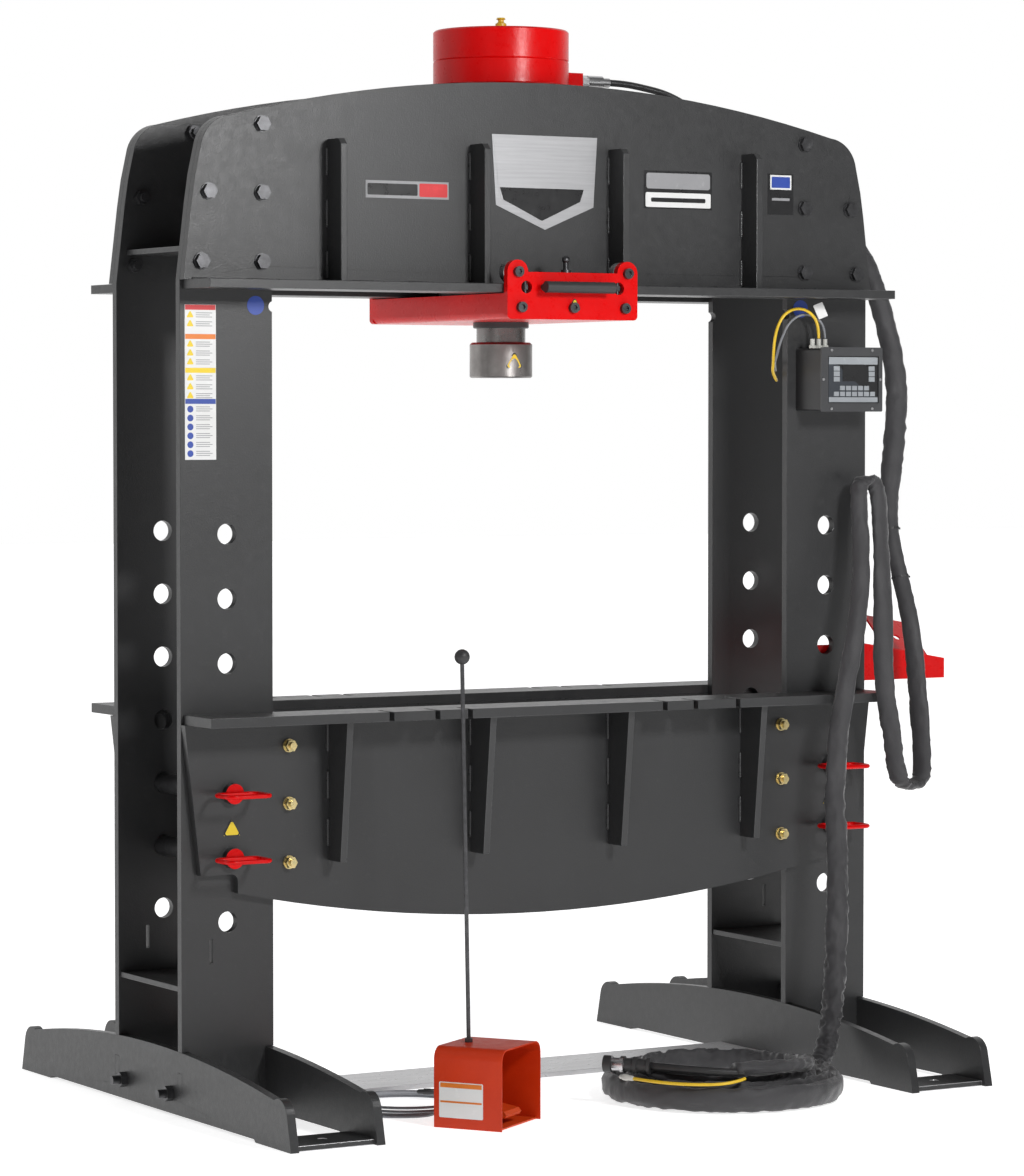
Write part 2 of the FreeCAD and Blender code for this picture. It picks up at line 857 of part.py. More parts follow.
node("cylinder_barrel", turned(
    "cylinder_barrel", [(bore_r, 0), (barrel_r, 0), (barrel_r, barrel_h), (bore_r, barrel_h)], z=deck_high,
))
drum = turned("cylinder_drum", [
    (bore_r, 0), (cap_r - 3, 0), (cap_r, 3), (cap_r, 56), (cap_r - 2, 58), (cap_r, 60),
    (cap_r, size("cap_h") - 4), (cap_r - 4, size("cap_h")), (0, size("cap_h")), (0, 34), (bore_r, 34),
], z=cap_low)
node("cylinder_gland", turned("cylinder_gland", [
    (rod_r + 0.08, 0), (63, 0), (64.9, 2), (64.9, size("deck_t") + 14), (bore_r - 0.1, size("deck_t") + 14),
    (bore_r - 0.1, size("deck_t") + 50), (rod_r + 0.08, size("deck_t") + 50),
], z=deck_low - 14))

head_top = deck_low - 47
head_low = head_top - size("ram_head_h")
piston_low = cap_low - 116


def ramRod():
    length = piston_low - head_top + 100
    return turned("ram_rod", [
        (0, 0), (rod_r, 0), (rod_r, length - 100), (bore_r - 0.3, length - 100),
        (bore_r - 0.3, length), (0, length),
    ], z=head_top)


node("ram_rod", ramRod())
node("ram_head", turned("ram_head", [
    (0, 0), (size("ram_head_r") - 3, 0), (size("ram_head_r"), 3), (size("ram_head_r"), size("ram_head_h") - 5),
    (size("ram_head_r") - 5, size("ram_head_h")), (0, size("ram_head_h")),
], z=head_low))

node("breather", turned("breather", [
    (0, 0), (9, 0), (9, 6), (13, 6), (13, 18), (7, 22), (7, 27), (11, 28), (9, 32), (0, 32),
], z=cap_top))

port_z = cap_low + 22


def portBlock():
    return box("port_blank", (cap_r - 25, cap_r + 54), (dim(-20), dim(20)), (port_z - 18, port_z + 18))


node("cylinder_cap", fuse("cylinder_cap", [drum, portBlock()]))
node("hose_coupler", fuse("hose_coupler", [
    hexagon("coupler_hex", "x", 26, (0, port_z), cap_r + 54, cap_r + 76),
    bar("coupler_sleeve", "x", 15, (0, port_z), cap_r + 76, cap_r + 116),
    bar("coupler_neck", "x", 11, (0, port_z), cap_r + 116, cap_r + 136),
]))


# ---- control box ------------------------------------------------------------

panel_x = (half_width - 204, half_width - 28)
panel_low = beam_low - 287
panel_high = beam_low - 135
panel_y = -half_depth - 110


def controlCase():
    x0, x1 = panel_x
    return plate("control_case", "XZ", 105.5, [rounded(x0 + 2, x1 - 2, panel_low + 2, panel_high - 2, 6)],
                 y=-half_depth)


node("control_case", controlCase())


def faceScrewPlaces():
    x0, z0 = panel_x[0], panel_low
    return [(x0 + 29, z0 + 145), (x0 + 146, z0 + 145), (x0 + 6, z0 + 76),
            (x0 + 169, z0 + 76), (x0 + 29, z0 + 7), (x0 + 146, z0 + 7)]


def controlFace():
    x0, x1 = panel_x
    window = rectangle(x0 + 20, x0 + 165, panel_low + 20, panel_low + 131)
    outline = rounded(x0, x1, panel_low, panel_high, 4)
    holes = [(x, z, 2) for x, z in faceScrewPlaces()]
    return plate("control_face", "XZ", 4.5, [outline, window], holes, y=panel_y + 4.5)


node("control_face", controlFace())


def keypadPanel():
    x0 = panel_x[0]
    base = plate("keypad_base", "XZ", 2, [rectangle(x0 + 22.5, x0 + 163.5, panel_low + 22, panel_low + 129)],
                 y=panel_y + 4.5)
    return base



def keypadBars():
    x0 = panel_x[0]
    y = (panel_y + 1.7, panel_y + 2.5)
    return [
        box("keypad_bar_top", (x0 + 23, x0 + 163), y, (panel_low + 111.6, panel_low + 128.6)),
        box("keypad_bar_low", (x0 + 23, x0 + 163), y, (panel_low + 22.4, panel_low + 34)),
    ]


def keyCaps():
    x0 = panel_x[0]
    y = (panel_y + 1, panel_y + 2.5)
    keys = []
    for column in (36.5, 137):
        for row in range(3):
            z = panel_low + 71 + row * 12.7
            keys.append(box(f"side_key_{column:.0f}_{row}", (x0 + column, x0 + column + 17), y, (z, z + 11)))
    for i in range(5):
        x = x0 + 54.5 + i * 17.3
        keys.append(box(f"upper_key_{i}", (x, x + 14), y, (panel_low + 50.5, panel_low + 61)))
    for i in range(7):
        x = x0 + 37.2 + i * 17.3
        keys.append(box(f"lower_key_{i}", (x, x + 14), y, (panel_low + 36.5, panel_low + 47)))
    return keys


screen = box("control_screen", (panel_x[0] + 62.6, panel_x[0] + 129),
             (panel_y + 1.7, panel_y + 2.5), (panel_low + 71.5, panel_low + 110))
node("keypad", group("keypad", [keypadPanel(), screen] + keyCaps() + keypadBars()))


def faceScrews():
    screws = []
    for i, (x, z) in enumerate(faceScrewPlaces()):
        screws.append(fuse(f"face_screw_{i}", [
            bar(f"face_screw_head_{i}", "y", 3.2, (x, z), panel_y - 1.6, panel_y),
            bar(f"face_screw_shank_{i}", "y", 1.8, (x, z), panel_y - 1, panel_y + 4.4),
        ]))
    return screws



def boxConnectors():
    plugs = []
    for i, x in enumerate((12.0, 30.0, 48.0)):
        at = (panel_x[0] + x, -half_depth - 55)
        z = panel_high - 2
        plugs.append(fuse(f"connector_{i}", [
            hexagon(f"connector_nut_{i}", "z", 15, at, z, z + 7),
            bar(f"connector_neck_{i}", "z", 5.5, at, z + 7, z + 22),
        ]))
    return plugs


node("box_fittings", group("box_fittings", boxConnectors() + faceScrews()))


# ---- foot switch ------------------------------------------------------------

GUARD_AT = (-358.0, -554.0)
GUARD_TURN = 34.0
guard_spin = FreeCAD.Rotation(FreeCAD.Vector(0, 0, 1), GUARD_TURN)
guard_w = size("guard_w")
guard_d = size("guard_d")
guard_h = size("guard_h")
guard_t = size("guard_t")


def archLoop(half, low, top, r):
    return [(-half, low), (half, low), (half, top - r, r, 1), (half - r, top), (-half + r, top, r, 1),
            (-half, top - r)]


# The hood is open towards the foot and underneath, and closed behind.
def footGuard():
    half = guard_w / 2
    outer = plate("guard_outer", "XZ", guard_d, [archLoop(half, 0, guard_h, 27)], y=guard_d / 2)
    inner = plate("guard_inner", "XZ", guard_d, [archLoop(half - guard_t, -1, guard_h - guard_t, 24)],
                  y=guard_d / 2 - guard_t)
    hood = cut("guard_hood", outer, [
        inner,
        bar("guard_rod_hole", "z", 4.8, (-4, 44), guard_h - 10, guard_h + 5),
        bar("guard_cord_hole", "y", 3.7, (0, 25), guard_d / 2 - 10, guard_d / 2 + 5),
    ])
    solid = group("foot_guard", [hood])
    place(solid, GUARD_AT[0], GUARD_AT[1], 0, guard_spin)
    return solid


node("foot_guard", footGuard())


def switchBase():
    half = guard_w / 2 - guard_t
    back = guard_d / 2 - guard_t
    solid = fuse("switch_base", [
        box("switch_floor", (-half, half), (-back + 6, back), (dim(0.2), dim(4.2))),
        box("switch_body", (dim(-45), dim(45)), (dim(16), back), (dim(4), dim(34))),
        box("switch_ear_left", (dim(-45), dim(-39)), (dim(-2), dim(17)), (dim(4), dim(34))),
        box("switch_ear_right", (dim(39), dim(45)), (dim(-2), dim(17)), (dim(4), dim(34))),
    ])
    place(solid, GUARD_AT[0], GUARD_AT[1], 0, guard_spin)
    return solid


node("switch_base", switchBase())


def footPedal():
    profile = [(-64, 26), (-60, 20), (4, 20), (12, 26), (12, 38), (2, 44), (-58, 34)]
    tread = plate("pedal_tread", "YZ", 76, [profile], x=-38)
    solid = fuse("foot_pedal", [tread, bar("pedal_pin", "x", 3, (5, 28), dim(-38.8), dim(38.8))])
    place(solid, GUARD_AT[0], GUARD_AT[1], 0, guard_spin)
    return solid


node("foot_pedal", footPedal())


def carryBar():
    lean = FreeCAD.Rotation(FreeCAD.Vector(0, 0, 1), FreeCAD.Vector(-13, 6, 846))
    solid = bar("carry_bar", "z", 4.6, (0, 0), dim(0), dim(833))
    place(solid, -385.9, -519.7, guard_h + 0.3, lean)
    return solid


# The rod with its ball grip above and its nut on the guard.
def carryRod():
    ball = doc.addObject("Part::Sphere", "rod_ball")
    ball.Radius = 17
    place(ball, -398.7, -513.8, guard_h + 846)
    nut = hexagon("rod_nut", "z", 17, (-385.9, -519.7), guard_h, guard_h + 9)
    return fuse("carry_rod", [carryBar(), ball, nut])


node("carry_rod", carryRod())


# ---- hanger for the pedal ---------------------------------------------------

def pedalHanger():
    z = dim(911)
    outline = [
        (half_width - 144, z), (half_width + 251, z), (half_width + 251, z + 48),
        (half_width + 19, z + 89), (half_width - 144, z + 89),
    ]
    back = plate("hanger_back", "XZ", 5, [outline], y=-inner_y + 5)
    flap = doc.addObject("Part::Box", "hanger_flap")
    bind(flap, Length=126, Width=131, Height=5)
    tilt = FreeCAD.Rotation(FreeCAD.Vector(0, 1, 0), 10).multiply(
        FreeCAD.Rotation(FreeCAD.Vector(1, 0, 0), 34.5))
    hole = bar("hanger_hole", "z", 10, (61, 55), dim(-5), dim(15))
    drilled = cut("hanger_flap_drilled", flap, [hole])
    place(drilled, half_width + 73, -inner_y + 0.5, z + 76, tilt)
    return fuse("pedal_hanger", [back, drilled])


node("pedal_hanger", pedalHanger())


# ---- blank labels -----------------------------------------------------------

LABEL_T = 0.6


def labels():
    face = -half_depth
    beam = -outer_y
    strip_x = -half_width + 12
    flat = [
        box("label_strip", (strip_x, strip_x + 76), (face - LABEL_T, face), (beam_low - 394, beam_low - 54)),
        box("label_title", (dim(272), dim(460)), (beam - LABEL_T, beam), (beam_low + 184, beam_low + 272)),
        box("label_small", (dim(-462), dim(-249)), (beam - LABEL_T, beam), (beam_low + 190, beam_low + 229)),
        box("label_end", (dim(617), dim(690)), (beam - LABEL_T, beam), (beam_low + 178, beam_low + 274)),
    ]
    for i, (x, z) in enumerate(((-half_width + 186, beam_low - 54), (half_width - 189, beam_low - 43))):
        flat.append(bar(f"label_round_{i}", "y", 21, (x, z), face - LABEL_T, face))
    return flat


badge = plate("blank_badge", "XZ", 1.2, [[
    (-126, beam_low + 182), (-136, beam_low + 342), (144, beam_low + 342), (134, beam_low + 182),
    (4, beam_low + 128),
][::-1]], y=-outer_y)


def warningLabels():
    parts = []
    for side in (1, -1):
        z = lower_pin_z + 50
        loop = [(pin_x * side - 20, z), (pin_x * side + 20, z), (pin_x * side, z + 35)]
        parts.append(plate(f"triangle_{side > 0}", "XZ", LABEL_T, [loop], y=-outer_y))
    return parts


node("blank_labels", group("blank_labels", labels() + warningLabels() + [badge]))


# ---- cords ------------------------------------------------------------------

# Straight runs joined by tangent arcs; prints each bend's radius.
def route(points):
    spots = [FreeCAD.Vector(*p) for p in points]
    edges = []
    radii = []
    here = spots[0]
    for i in range(1, len(spots) - 1):
        back = spots[i - 1] - spots[i]
        ahead = spots[i + 1] - spots[i]
        turn = math.pi - back.getAngle(ahead)
        trim = 0.45 * min(back.Length, ahead.Length)
        enter = spots[i] + back.normalize() * trim
        leave = spots[i] + ahead.normalize() * trim
        radius = trim / math.tan(turn / 2)
        middle_way = ((enter + leave) * 0.5 - spots[i]).normalize()
        reach = radius / math.cos(turn / 2) - radius
        edges.append(Part.LineSegment(here, enter).toShape())
        edges.append(Part.Arc(enter, spots[i] + middle_way * reach, leave).toShape())
        radii.append(round(radius))
        here = leave
    edges.append(Part.LineSegment(here, spots[-1]).toShape())
    return edges, radii


def cord(name, points, radius):
    edges, radii = route(points)
    path = Part.Wire(edges)
    start = FreeCAD.Vector(*points[0])
    along = FreeCAD.Vector(*points[1]) - start
    section = Part.Wire(Part.makeCircle(radius, start, along))
    solid = path.makePipeShell([section], True, False)
    if solid.Volume < 0:
        solid.reverse()
    ideal = math.pi * radius * radius * path.Length
    print(f"{name}: {path.Length:.0f} mm long, volume ratio {solid.Volume / ideal:.3f}, bend radii {radii}")
    feature = doc.addObject("Part::Feature", name)
    feature.Shape = solid
    return node(name, feature)


def fromFace(points):
    return [(x, y - SIZES["half_depth"], z) for x, y, z in points]


# The points below are measured from the posts' front face, which is y = 0.
SLEEVE = [
    (800, 300.7, 2120), (845, 296, 2100), (895, 200, 2062), (928, 105, 2000), (950, 56, 1925), (968, 30, 1845),
    (992, 16, 1745), (1010, 6, 1640),
    (1006, 0, 1540), (990, -5, 1440), (974, -12, 1350), (972, -25, 1260), (985, -48, 1160), (992, -82, 1050),
    (989, -108, 930), (986, -128, 820), (985, -146, 696), (958, -152, 669), (920, -158, 669), (893, -164, 696),
    (880, -168, 775), (860, -170, 860), (850, -167, 950), (862, -150, 1060), (884, -115, 1170), (902, -82, 1270),
    (907, -64, 1376), (888, -60, 1395), (860, -66, 1395), (841, -74, 1376), (833, -102, 1240), (806, -135, 1110),
    (766, -160, 990), (733, -170, 880), (714, -173, 770), (709, -172, 650), (712, -177, 530), (702, -194, 410),
    (684, -214, 300), (664, -234, 200), (643, -252, 120), (618, -264, 66), (589, -273, 35),
]
cord("hose_sleeve", fromFace(SLEEVE), SIZES["sleeve_r"])

node("sleeve_coil", turned("sleeve_coil", [
    (150, 1), (270, 1), (284, 12, 30, 1), (286, 40, 30, 1), (270, 74), (168, 78), (146, 60), (142, 18),
], 290, -491.5, 0))

node("hose_end", turned("hose_end", [
    (0, 0), (19, 0), (19, 8), (15, 10), (15, 30), (19, 32), (19, 40), (15, 42), (15, 60), (19, 62),
    (19, 70), (15, 72), (15, 90), (19, 92), (19, 110), (0, 110),
], 62, -560, 94.5, FreeCAD.Rotation(FreeCAD.Vector(0, 0, 1), 40).multiply(TURNS["y"])))

OVERHEAD = [
    (294, 171.5, 2333), (332, 171.5, 2333), (390, 170, 2325), (448, 168, 2314), (502, 168, 2293),
    (550, 170, 2262), (588, 173, 2218), (610, 176, 2165), (618, 178, 2105),
]
cord("overhead_hose", fromFace(OVERHEAD), 8)

YELLOW = [
    (740, -55, 1732.2), (741, -53, 1756), (735, -47, 1782), (712, -42, 1801), (680, -40, 1803),
    (652, -39, 1789), (636, -36, 1762), (631, -30, 1730), (636, -18, 1698), (650, 4, 1672),
    (668, 34, 1650), (696, 58, 1634),
]
cord("yellow_cable", fromFace(YELLOW), 3.6)

GREY = [
    (758, -55, 1732.2), (760, -50, 1754), (754, -40, 1776), (732, -28, 1790), (704, -24, 1788),
    (676, -22, 1768), (662, -18, 1738), (658, -8, 1712), (664, 10, 1690), (673, 34, 1673), (695, 60, 1657),
]
cord("grey_cable", fromFace(GREY), 3)

FOOT_CORD = [
    (-403, -315.7, 25), (-411, -303, 24), (-421, -287, 17), (-430, -272, 11), (-436, -258.9, 9),
]
cord("foot_cord", fromFace(FOOT_CORD), 3.25)

node("foot_cord_coil", turned("foot_cord_coil", [
    (100, 0.6), (150, 0.6), (158, 10, 14, 1), (150, 26), (112, 30), (94, 18), (94, 8),
], -420, -271.5, 0))


# ---- build, check and write ------------------------------------------------

doc.recompute()
faults = []
for thing in doc.Objects:
    if "Invalid" in thing.State or "Error" in thing.State:
        faults.append(f"{thing.Name}: {thing.State}")
for name, thing in nodes.items():
    if thing.Shape.isNull() or not thing.Shape.isValid() or thing.Shape.Volume <= 0:
        faults.append(f"{name}: bad shape")
if faults:
    raise SystemExit("faults: " + "; ".join(faults))

os.makedirs("parts", exist_ok=True)
for name, thing in nodes.items():
    thing.Shape.exportStep(f"parts/{name}.step")
    print(f"{name}: {len(thing.Shape.Solids)} solids, {thing.Shape.Volume / 1000:.1f} cm3")
print(f"{len(nodes)} nodes written")
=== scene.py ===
import json
import math

import bmesh
import bpy
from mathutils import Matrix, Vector, noise

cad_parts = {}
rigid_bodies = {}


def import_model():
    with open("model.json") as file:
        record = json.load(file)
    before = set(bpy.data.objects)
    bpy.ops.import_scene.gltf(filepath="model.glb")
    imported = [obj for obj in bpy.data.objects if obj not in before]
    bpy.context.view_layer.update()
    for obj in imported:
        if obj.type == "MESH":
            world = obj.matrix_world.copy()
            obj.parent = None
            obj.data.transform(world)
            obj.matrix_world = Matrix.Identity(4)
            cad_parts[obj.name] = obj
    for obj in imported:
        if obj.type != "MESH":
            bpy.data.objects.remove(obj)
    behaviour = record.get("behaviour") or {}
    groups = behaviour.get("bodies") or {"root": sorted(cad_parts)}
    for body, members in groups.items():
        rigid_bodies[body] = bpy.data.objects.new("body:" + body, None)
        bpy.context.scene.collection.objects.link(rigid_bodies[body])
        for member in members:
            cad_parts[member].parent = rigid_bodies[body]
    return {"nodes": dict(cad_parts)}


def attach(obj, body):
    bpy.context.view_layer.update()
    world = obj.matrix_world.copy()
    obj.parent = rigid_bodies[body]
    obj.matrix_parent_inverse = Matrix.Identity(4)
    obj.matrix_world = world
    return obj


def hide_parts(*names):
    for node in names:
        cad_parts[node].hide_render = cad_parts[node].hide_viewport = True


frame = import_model()
scene = bpy.context.scene
for spare in [o for o in scene.objects if o.name in ("Cube", "Light", "Camera")]:
    bpy.data.objects.remove(spare)
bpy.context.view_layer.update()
nodes = frame["nodes"]
print("frame loaded:", len(nodes), "nodes")


# The camera stands far off with a long lens.
viewpoint = {
    "place": (-5.07295, -8.67677, 1.53987),
    "tilt": 87.764,
    "turn": -30.46,
    "lens": 131.95,
}


def placeCamera(spec):
    data = bpy.data.cameras.new("camera")
    data.lens = spec["lens"]
    data.sensor_width = 36
    data.clip_end = 200
    obj = bpy.data.objects.new("camera", data)
    obj.location = spec["place"]
    obj.rotation_euler = (math.radians(spec["tilt"]), 0, math.radians(spec["turn"]))
    scene.collection.objects.link(obj)
    scene.camera = obj


placeCamera(viewpoint)
print("camera placed")


def between(table, spot):
    # straight-line reading of a small table of (place, value)
    for (a, first), (b, second) in zip(table, table[1:]):
        if spot <= b:
            share = max(0.0, (spot - a) / (b - a))
            if isinstance(first, tuple):
                return Vector(first).lerp(Vector(second), share)
            return first + (second - first) * share
    last = table[-1][1]
    return Vector(last) if isinstance(last, tuple) else last


def layCord(name, points, fineness=12):
    curve = bpy.data.curves.new(name, "CURVE")
    curve.dimensions = "3D"
    curve.resolution_u = fineness
    spline = curve.splines.new("NURBS")
    spline.points.add(len(points) - 1)
    for spot, point in zip(spline.points, points):
        spot.co = (*point, 1)
    spline.order_u = 3
    spline.use_endpoint_u = True
    obj = bpy.data.objects.new(name, curve)
    scene.collection.objects.link(obj)
    return obj


def centreLine(obj):
    # the points that the bare spline runs through
    bpy.context.view_layer.update()
    graph = bpy.context.evaluated_depsgraph_get()
    mesh = bpy.data.meshes.new_from_object(obj.evaluated_get(graph))
    line = [v.co.copy() for v in mesh.vertices]
    bpy.data.meshes.remove(mesh)
    return line


def lengthOf(line):
    return sum((b - a).length for a, b in zip(line, line[1:]))


def fromMesh(name, verts, faces, body="frame", smooth=True):
    mesh = bpy.data.meshes.new(name)
    mesh.from_pydata(verts, [], faces)
    mesh.update()
    for face in mesh.polygons:
        face.use_smooth = smooth
    obj = bpy.data.objects.new(name, mesh)
    scene.collection.objects.link(obj)
    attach(obj, body)
    return obj


def skin(rings, closed=True):
    # faces between rings of equal count, with both ends capped
    sides = len(rings[0])
    verts = [v for ring in rings for v in ring]
    faces = []
    for i in range(len(rings) - 1):
        for j in range(sides):
            k = (j + 1) % sides
            faces.append((i * sides + j, i * sides + k, (i + 1) * sides + k, (i + 1) * sides + j))
    if closed:
        faces.append(tuple(reversed(range(sides))))
        faces.append(tuple((len(rings) - 1) * sides + j for j in range(sides)))
    return verts, faces


def directions(line):
    last = len(line) - 1
    return [(line[min(i + 1, last)] - line[max(i - 1, 0)]).normalized() for i in range(last + 1)]


def pointAt(line, distance):
    for a, b in zip(line, line[1:]):
        step = (b - a).length
        if distance <= step:
            return a.lerp(b, distance / step), (b - a).normalized()
        distance -= step
    way = (line[-1] - line[-2]).normalized()
    return line[-1] + way * distance, way


def pipe(name, line, profile, body="frame", sides=20):
    # a turned piece on a cord: profile is (distance along, radius)
    rings = []
    for distance, radius in profile:
        centre, way = pointAt(line, distance)
        side = way.orthogonal().normalized()
        up = way.cross(side)
        rings.append([
            centre + (side * math.cos(a) + up * math.sin(a)) * radius
            for a in (2 * math.pi * j / sides for j in range(sides))
        ])
    verts, faces = skin(rings)
    return fromMesh(name, verts, faces, body)


# The fabric sleeve: down the right post, folded twice over, then wound on the floor.
sleeve = {
    "diameter": 0.044,
    "fineness": 22,
    "sides": 22,
    "route": [
        (0.800, 0.1292, 2.120), (0.845, 0.1245, 2.100), (0.895, 0.0285, 2.062),
        (0.928, -0.0665, 2.000), (0.950, -0.1155, 1.925), (0.968, -0.1415, 1.845),
        (0.992, -0.1555, 1.745), (1.010, -0.1655, 1.640), (1.006, -0.1715, 1.540),
        (0.990, -0.1765, 1.440), (0.974, -0.1835, 1.350), (0.972, -0.1965, 1.260),
        (0.985, -0.2195, 1.160), (0.992, -0.2535, 1.050), (0.989, -0.2795, 0.930),
        (0.986, -0.2995, 0.820), (0.985, -0.3175, 0.696), (0.958, -0.3235, 0.669),
        (0.920, -0.3295, 0.669), (0.893, -0.3355, 0.696), (0.880, -0.3395, 0.775),
        (0.860, -0.3415, 0.860), (0.850, -0.3385, 0.950), (0.862, -0.3215, 1.060),
        (0.884, -0.2865, 1.170), (0.902, -0.2535, 1.270), (0.907, -0.2355, 1.376),
        (0.888, -0.2315, 1.395), (0.860, -0.2375, 1.395), (0.841, -0.2455, 1.376),
        (0.833, -0.2735, 1.240), (0.806, -0.3065, 1.110), (0.766, -0.3315, 0.990),
        (0.733, -0.3415, 0.880), (0.714, -0.3445, 0.770), (0.709, -0.3435, 0.650),
        (0.712, -0.3485, 0.530), (0.702, -0.3655, 0.410), (0.684, -0.3855, 0.300),
        (0.664, -0.4055, 0.200), (0.643, -0.4235, 0.120), (0.618, -0.4355, 0.066),
        (0.589, -0.4445, 0.037), (0.572, -0.472, 0.031), (0.566, -0.510, 0.031),
    ],
    "coilCentre": (0.290, -0.4915),
    "coilSteps": 40,
    "stepTurn": 0.08,
    "firstTurn": 0.12,
    "radii": [(0.1, 0.280), (0.6, 0.263), (1.1, 0.249), (1.6, 0.229), (2.1, 0.216),
              (2.6, 0.198), (3.04, 0.187), (3.12, 0.204), (3.20, 0.231), (3.4, 0.245)],
    "heights": [(0.1, 0.031), (1.0, 0.036), (2.0, 0.048), (3.0, 0.055), (3.08, 0.066),
                (3.16, 0.086), (3.24, 0.095), (3.4, 0.094)],
    # half width and half thickness of the cloth at each route point
    "halfWidth": [(0, 0.021), (5, 0.025), (8, 0.0275), (9.5, 0.026), (11, 0.0195), (12.5, 0.021),
                  (15, 0.0245), (17, 0.0235), (19, 0.0235), (24, 0.0245), (27, 0.021), (30, 0.021),
                  (33, 0.0235), (36, 0.0265), (40, 0.0290), (43, 0.0290), (84, 0.0290), (86, 0.026)],
    "halfThick": [(0, 0.020), (5, 0.019), (8, 0.0155), (11, 0.0135), (15, 0.0105), (17, 0.012),
                  (20, 0.0105), (27, 0.012), (31, 0.0105), (34, 0.012), (37, 0.0185), (40, 0.0225),
                  (42, 0.0235), (44, 0.0150), (81, 0.0150), (86, 0.018)],
    # the way the wide side points
    "wide": [(0, (0.86, -0.5, 0.0)), (12, (0.86, -0.5, 0.0)), (15, (0.55, -0.85, 0.0)),
             (22, (0.75, -0.65, 0.0)), (25, (0.95, 0.1, 0.0)), (29, (0.86, -0.5, 0.0)),
             (38, (0.86, -0.5, 0.0)), (41.5, (0.2, -0.97, 0.2)), (44, (0.0, -0.2, 1.0)),
             (81, (0.0, 0.0, 1.0)), (83.5, (-0.35, -0.75, 0.35)), (86, (-0.42, -0.9, 0.0))],
    # how deep the creases are, as a share of the local size
    "crease": [(0, 0.08), (6, 0.14), (9, 0.18), (11, 0.10), (13, 0.14), (16, 0.22), (19, 0.26), (22, 0.14),
               (25, 0.12), (28, 0.24), (31, 0.14), (34, 0.18), (37, 0.30), (40, 0.42), (43, 0.46),
               (46, 0.22), (52, 0.20), (58, 0.40), (84, 0.42)],
}


def sleevePoints(spec):
    points = list(spec["route"])
    for k in range(spec["coilSteps"] + 1):
        turn = spec["firstTurn"] + k * spec["stepTurn"]
        angle = -2 * math.pi * turn
        radius = between(spec["radii"], turn) + 0.004 * math.sin(5.3 * turn)
        points.append((
            spec["coilCentre"][0] + radius * math.cos(angle),
            spec["coilCentre"][1] + radius * math.sin(angle),
            between(spec["heights"], turn),
        ))
    return points


def clothRing(spec, centre, way, knot, grow=0.0, sides=None):
    # one cross-section of the sleeve, creased where the cloth bunches
    wide = between(spec["wide"], knot)
    wide = (wide - way * wide.dot(way)).normalized()
    thin = way.cross(wide)
    a, b = between(spec["halfWidth"], knot) + grow, between(spec["halfThick"], knot) + grow
    deep = between(spec["crease"], knot)
    sides = sides or spec["sides"]
    ring = []
    for j in range(sides):
        angle = 2 * math.pi * j / sides
        u, v = math.cos(angle), math.sin(angle)
        big = noise.noise(Vector((1.3 * u, 1.3 * v, 1.7 * knot)))
        swirl = angle + 0.7 * knot
        around = Vector((1.2 * math.cos(swirl) + 7, 1.2 * math.sin(swirl), 2.9 * knot))
        fold = 1 - 2.4 * abs(noise.noise(around))
        fine = noise.noise(Vector((3 * u + 3, 3 * v, 6 * knot)))
        size = min(1.02, 1 - 0.30 * deep + deep * (0.6 * big + 0.55 * (fold - 0.4) + 0.2 * fine))
        ring.append(centre + (wide * a * u + thin * b * v) * size)
    return ring


def makeSleeve(spec):
    guide = layCord("sleeveGuide", sleevePoints(spec), spec["fineness"])
    line = centreLine(guide)
    bpy.data.objects.remove(guide)
    ways = directions(line)
    rings = [
        clothRing(spec, point, way, i / spec["fineness"] + 0.5)
        for i, (point, way) in enumerate(zip(line, ways))
    ]
    verts, faces = skin(rings)
    return fromMesh("fabricSleeve", verts, faces), line, ways


fabricSleeve, sleeveLine, sleeveWays = makeSleeve(sleeve)
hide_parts("hose_sleeve", "sleeve_coil")

ties = {
    "knots": (10.9, 12.1),
    "wide": 0.0045,
    "proud": 0.0012,
    "sunk": 0.002,
    "sides": 36,
    # the square head, across the cloth, along it and out of it
    "head": (0.006, 0.0045, 0.005),
    "headLift": 0.001,
}
boxFaces = ((0, 1, 3, 2), (4, 6, 7, 5), (0, 4, 5, 1), (2, 3, 7, 6), (0, 2, 6, 4), (1, 5, 7, 3))


def makeTie(name, spec, knot):
    # a flat band around the cloth, with its head on the wide side
    i = round((knot - 0.5) * sleeve["fineness"])
    centre, way = sleeveLine[i], sleeveWays[i]
    rings = [
        clothRing(sleeve, centre + way * shift * spec["wide"], way, knot, lift, spec["sides"])
        for shift, lift in ((-0.5, -spec["sunk"]), (-0.5, spec["proud"]), (0.5, spec["proud"]),
                            (0.5, -spec["sunk"]))
    ]
    verts, faces = skin(rings)
    wide = between(sleeve["wide"], knot).normalized()
    thin = way.cross(wide)
    spot = centre + wide * (between(sleeve["halfWidth"], knot) + spec["headLift"])
    across, along, out = (size / 2 for size in spec["head"])
    faces += [tuple(len(verts) + corner for corner in face) for face in boxFaces]
    verts += [
        spot + wide * u * out + thin * v * across + way * w * along
        for u in (-1, 1) for v in (-1, 1) for w in (-1, 1)
    ]
    return fromMesh(name, verts, faces, smooth=False)


sleeveTies = [makeTie(f"sleeveTie.{number + 1}", ties, knot) for number, knot in enumerate(ties["knots"])]

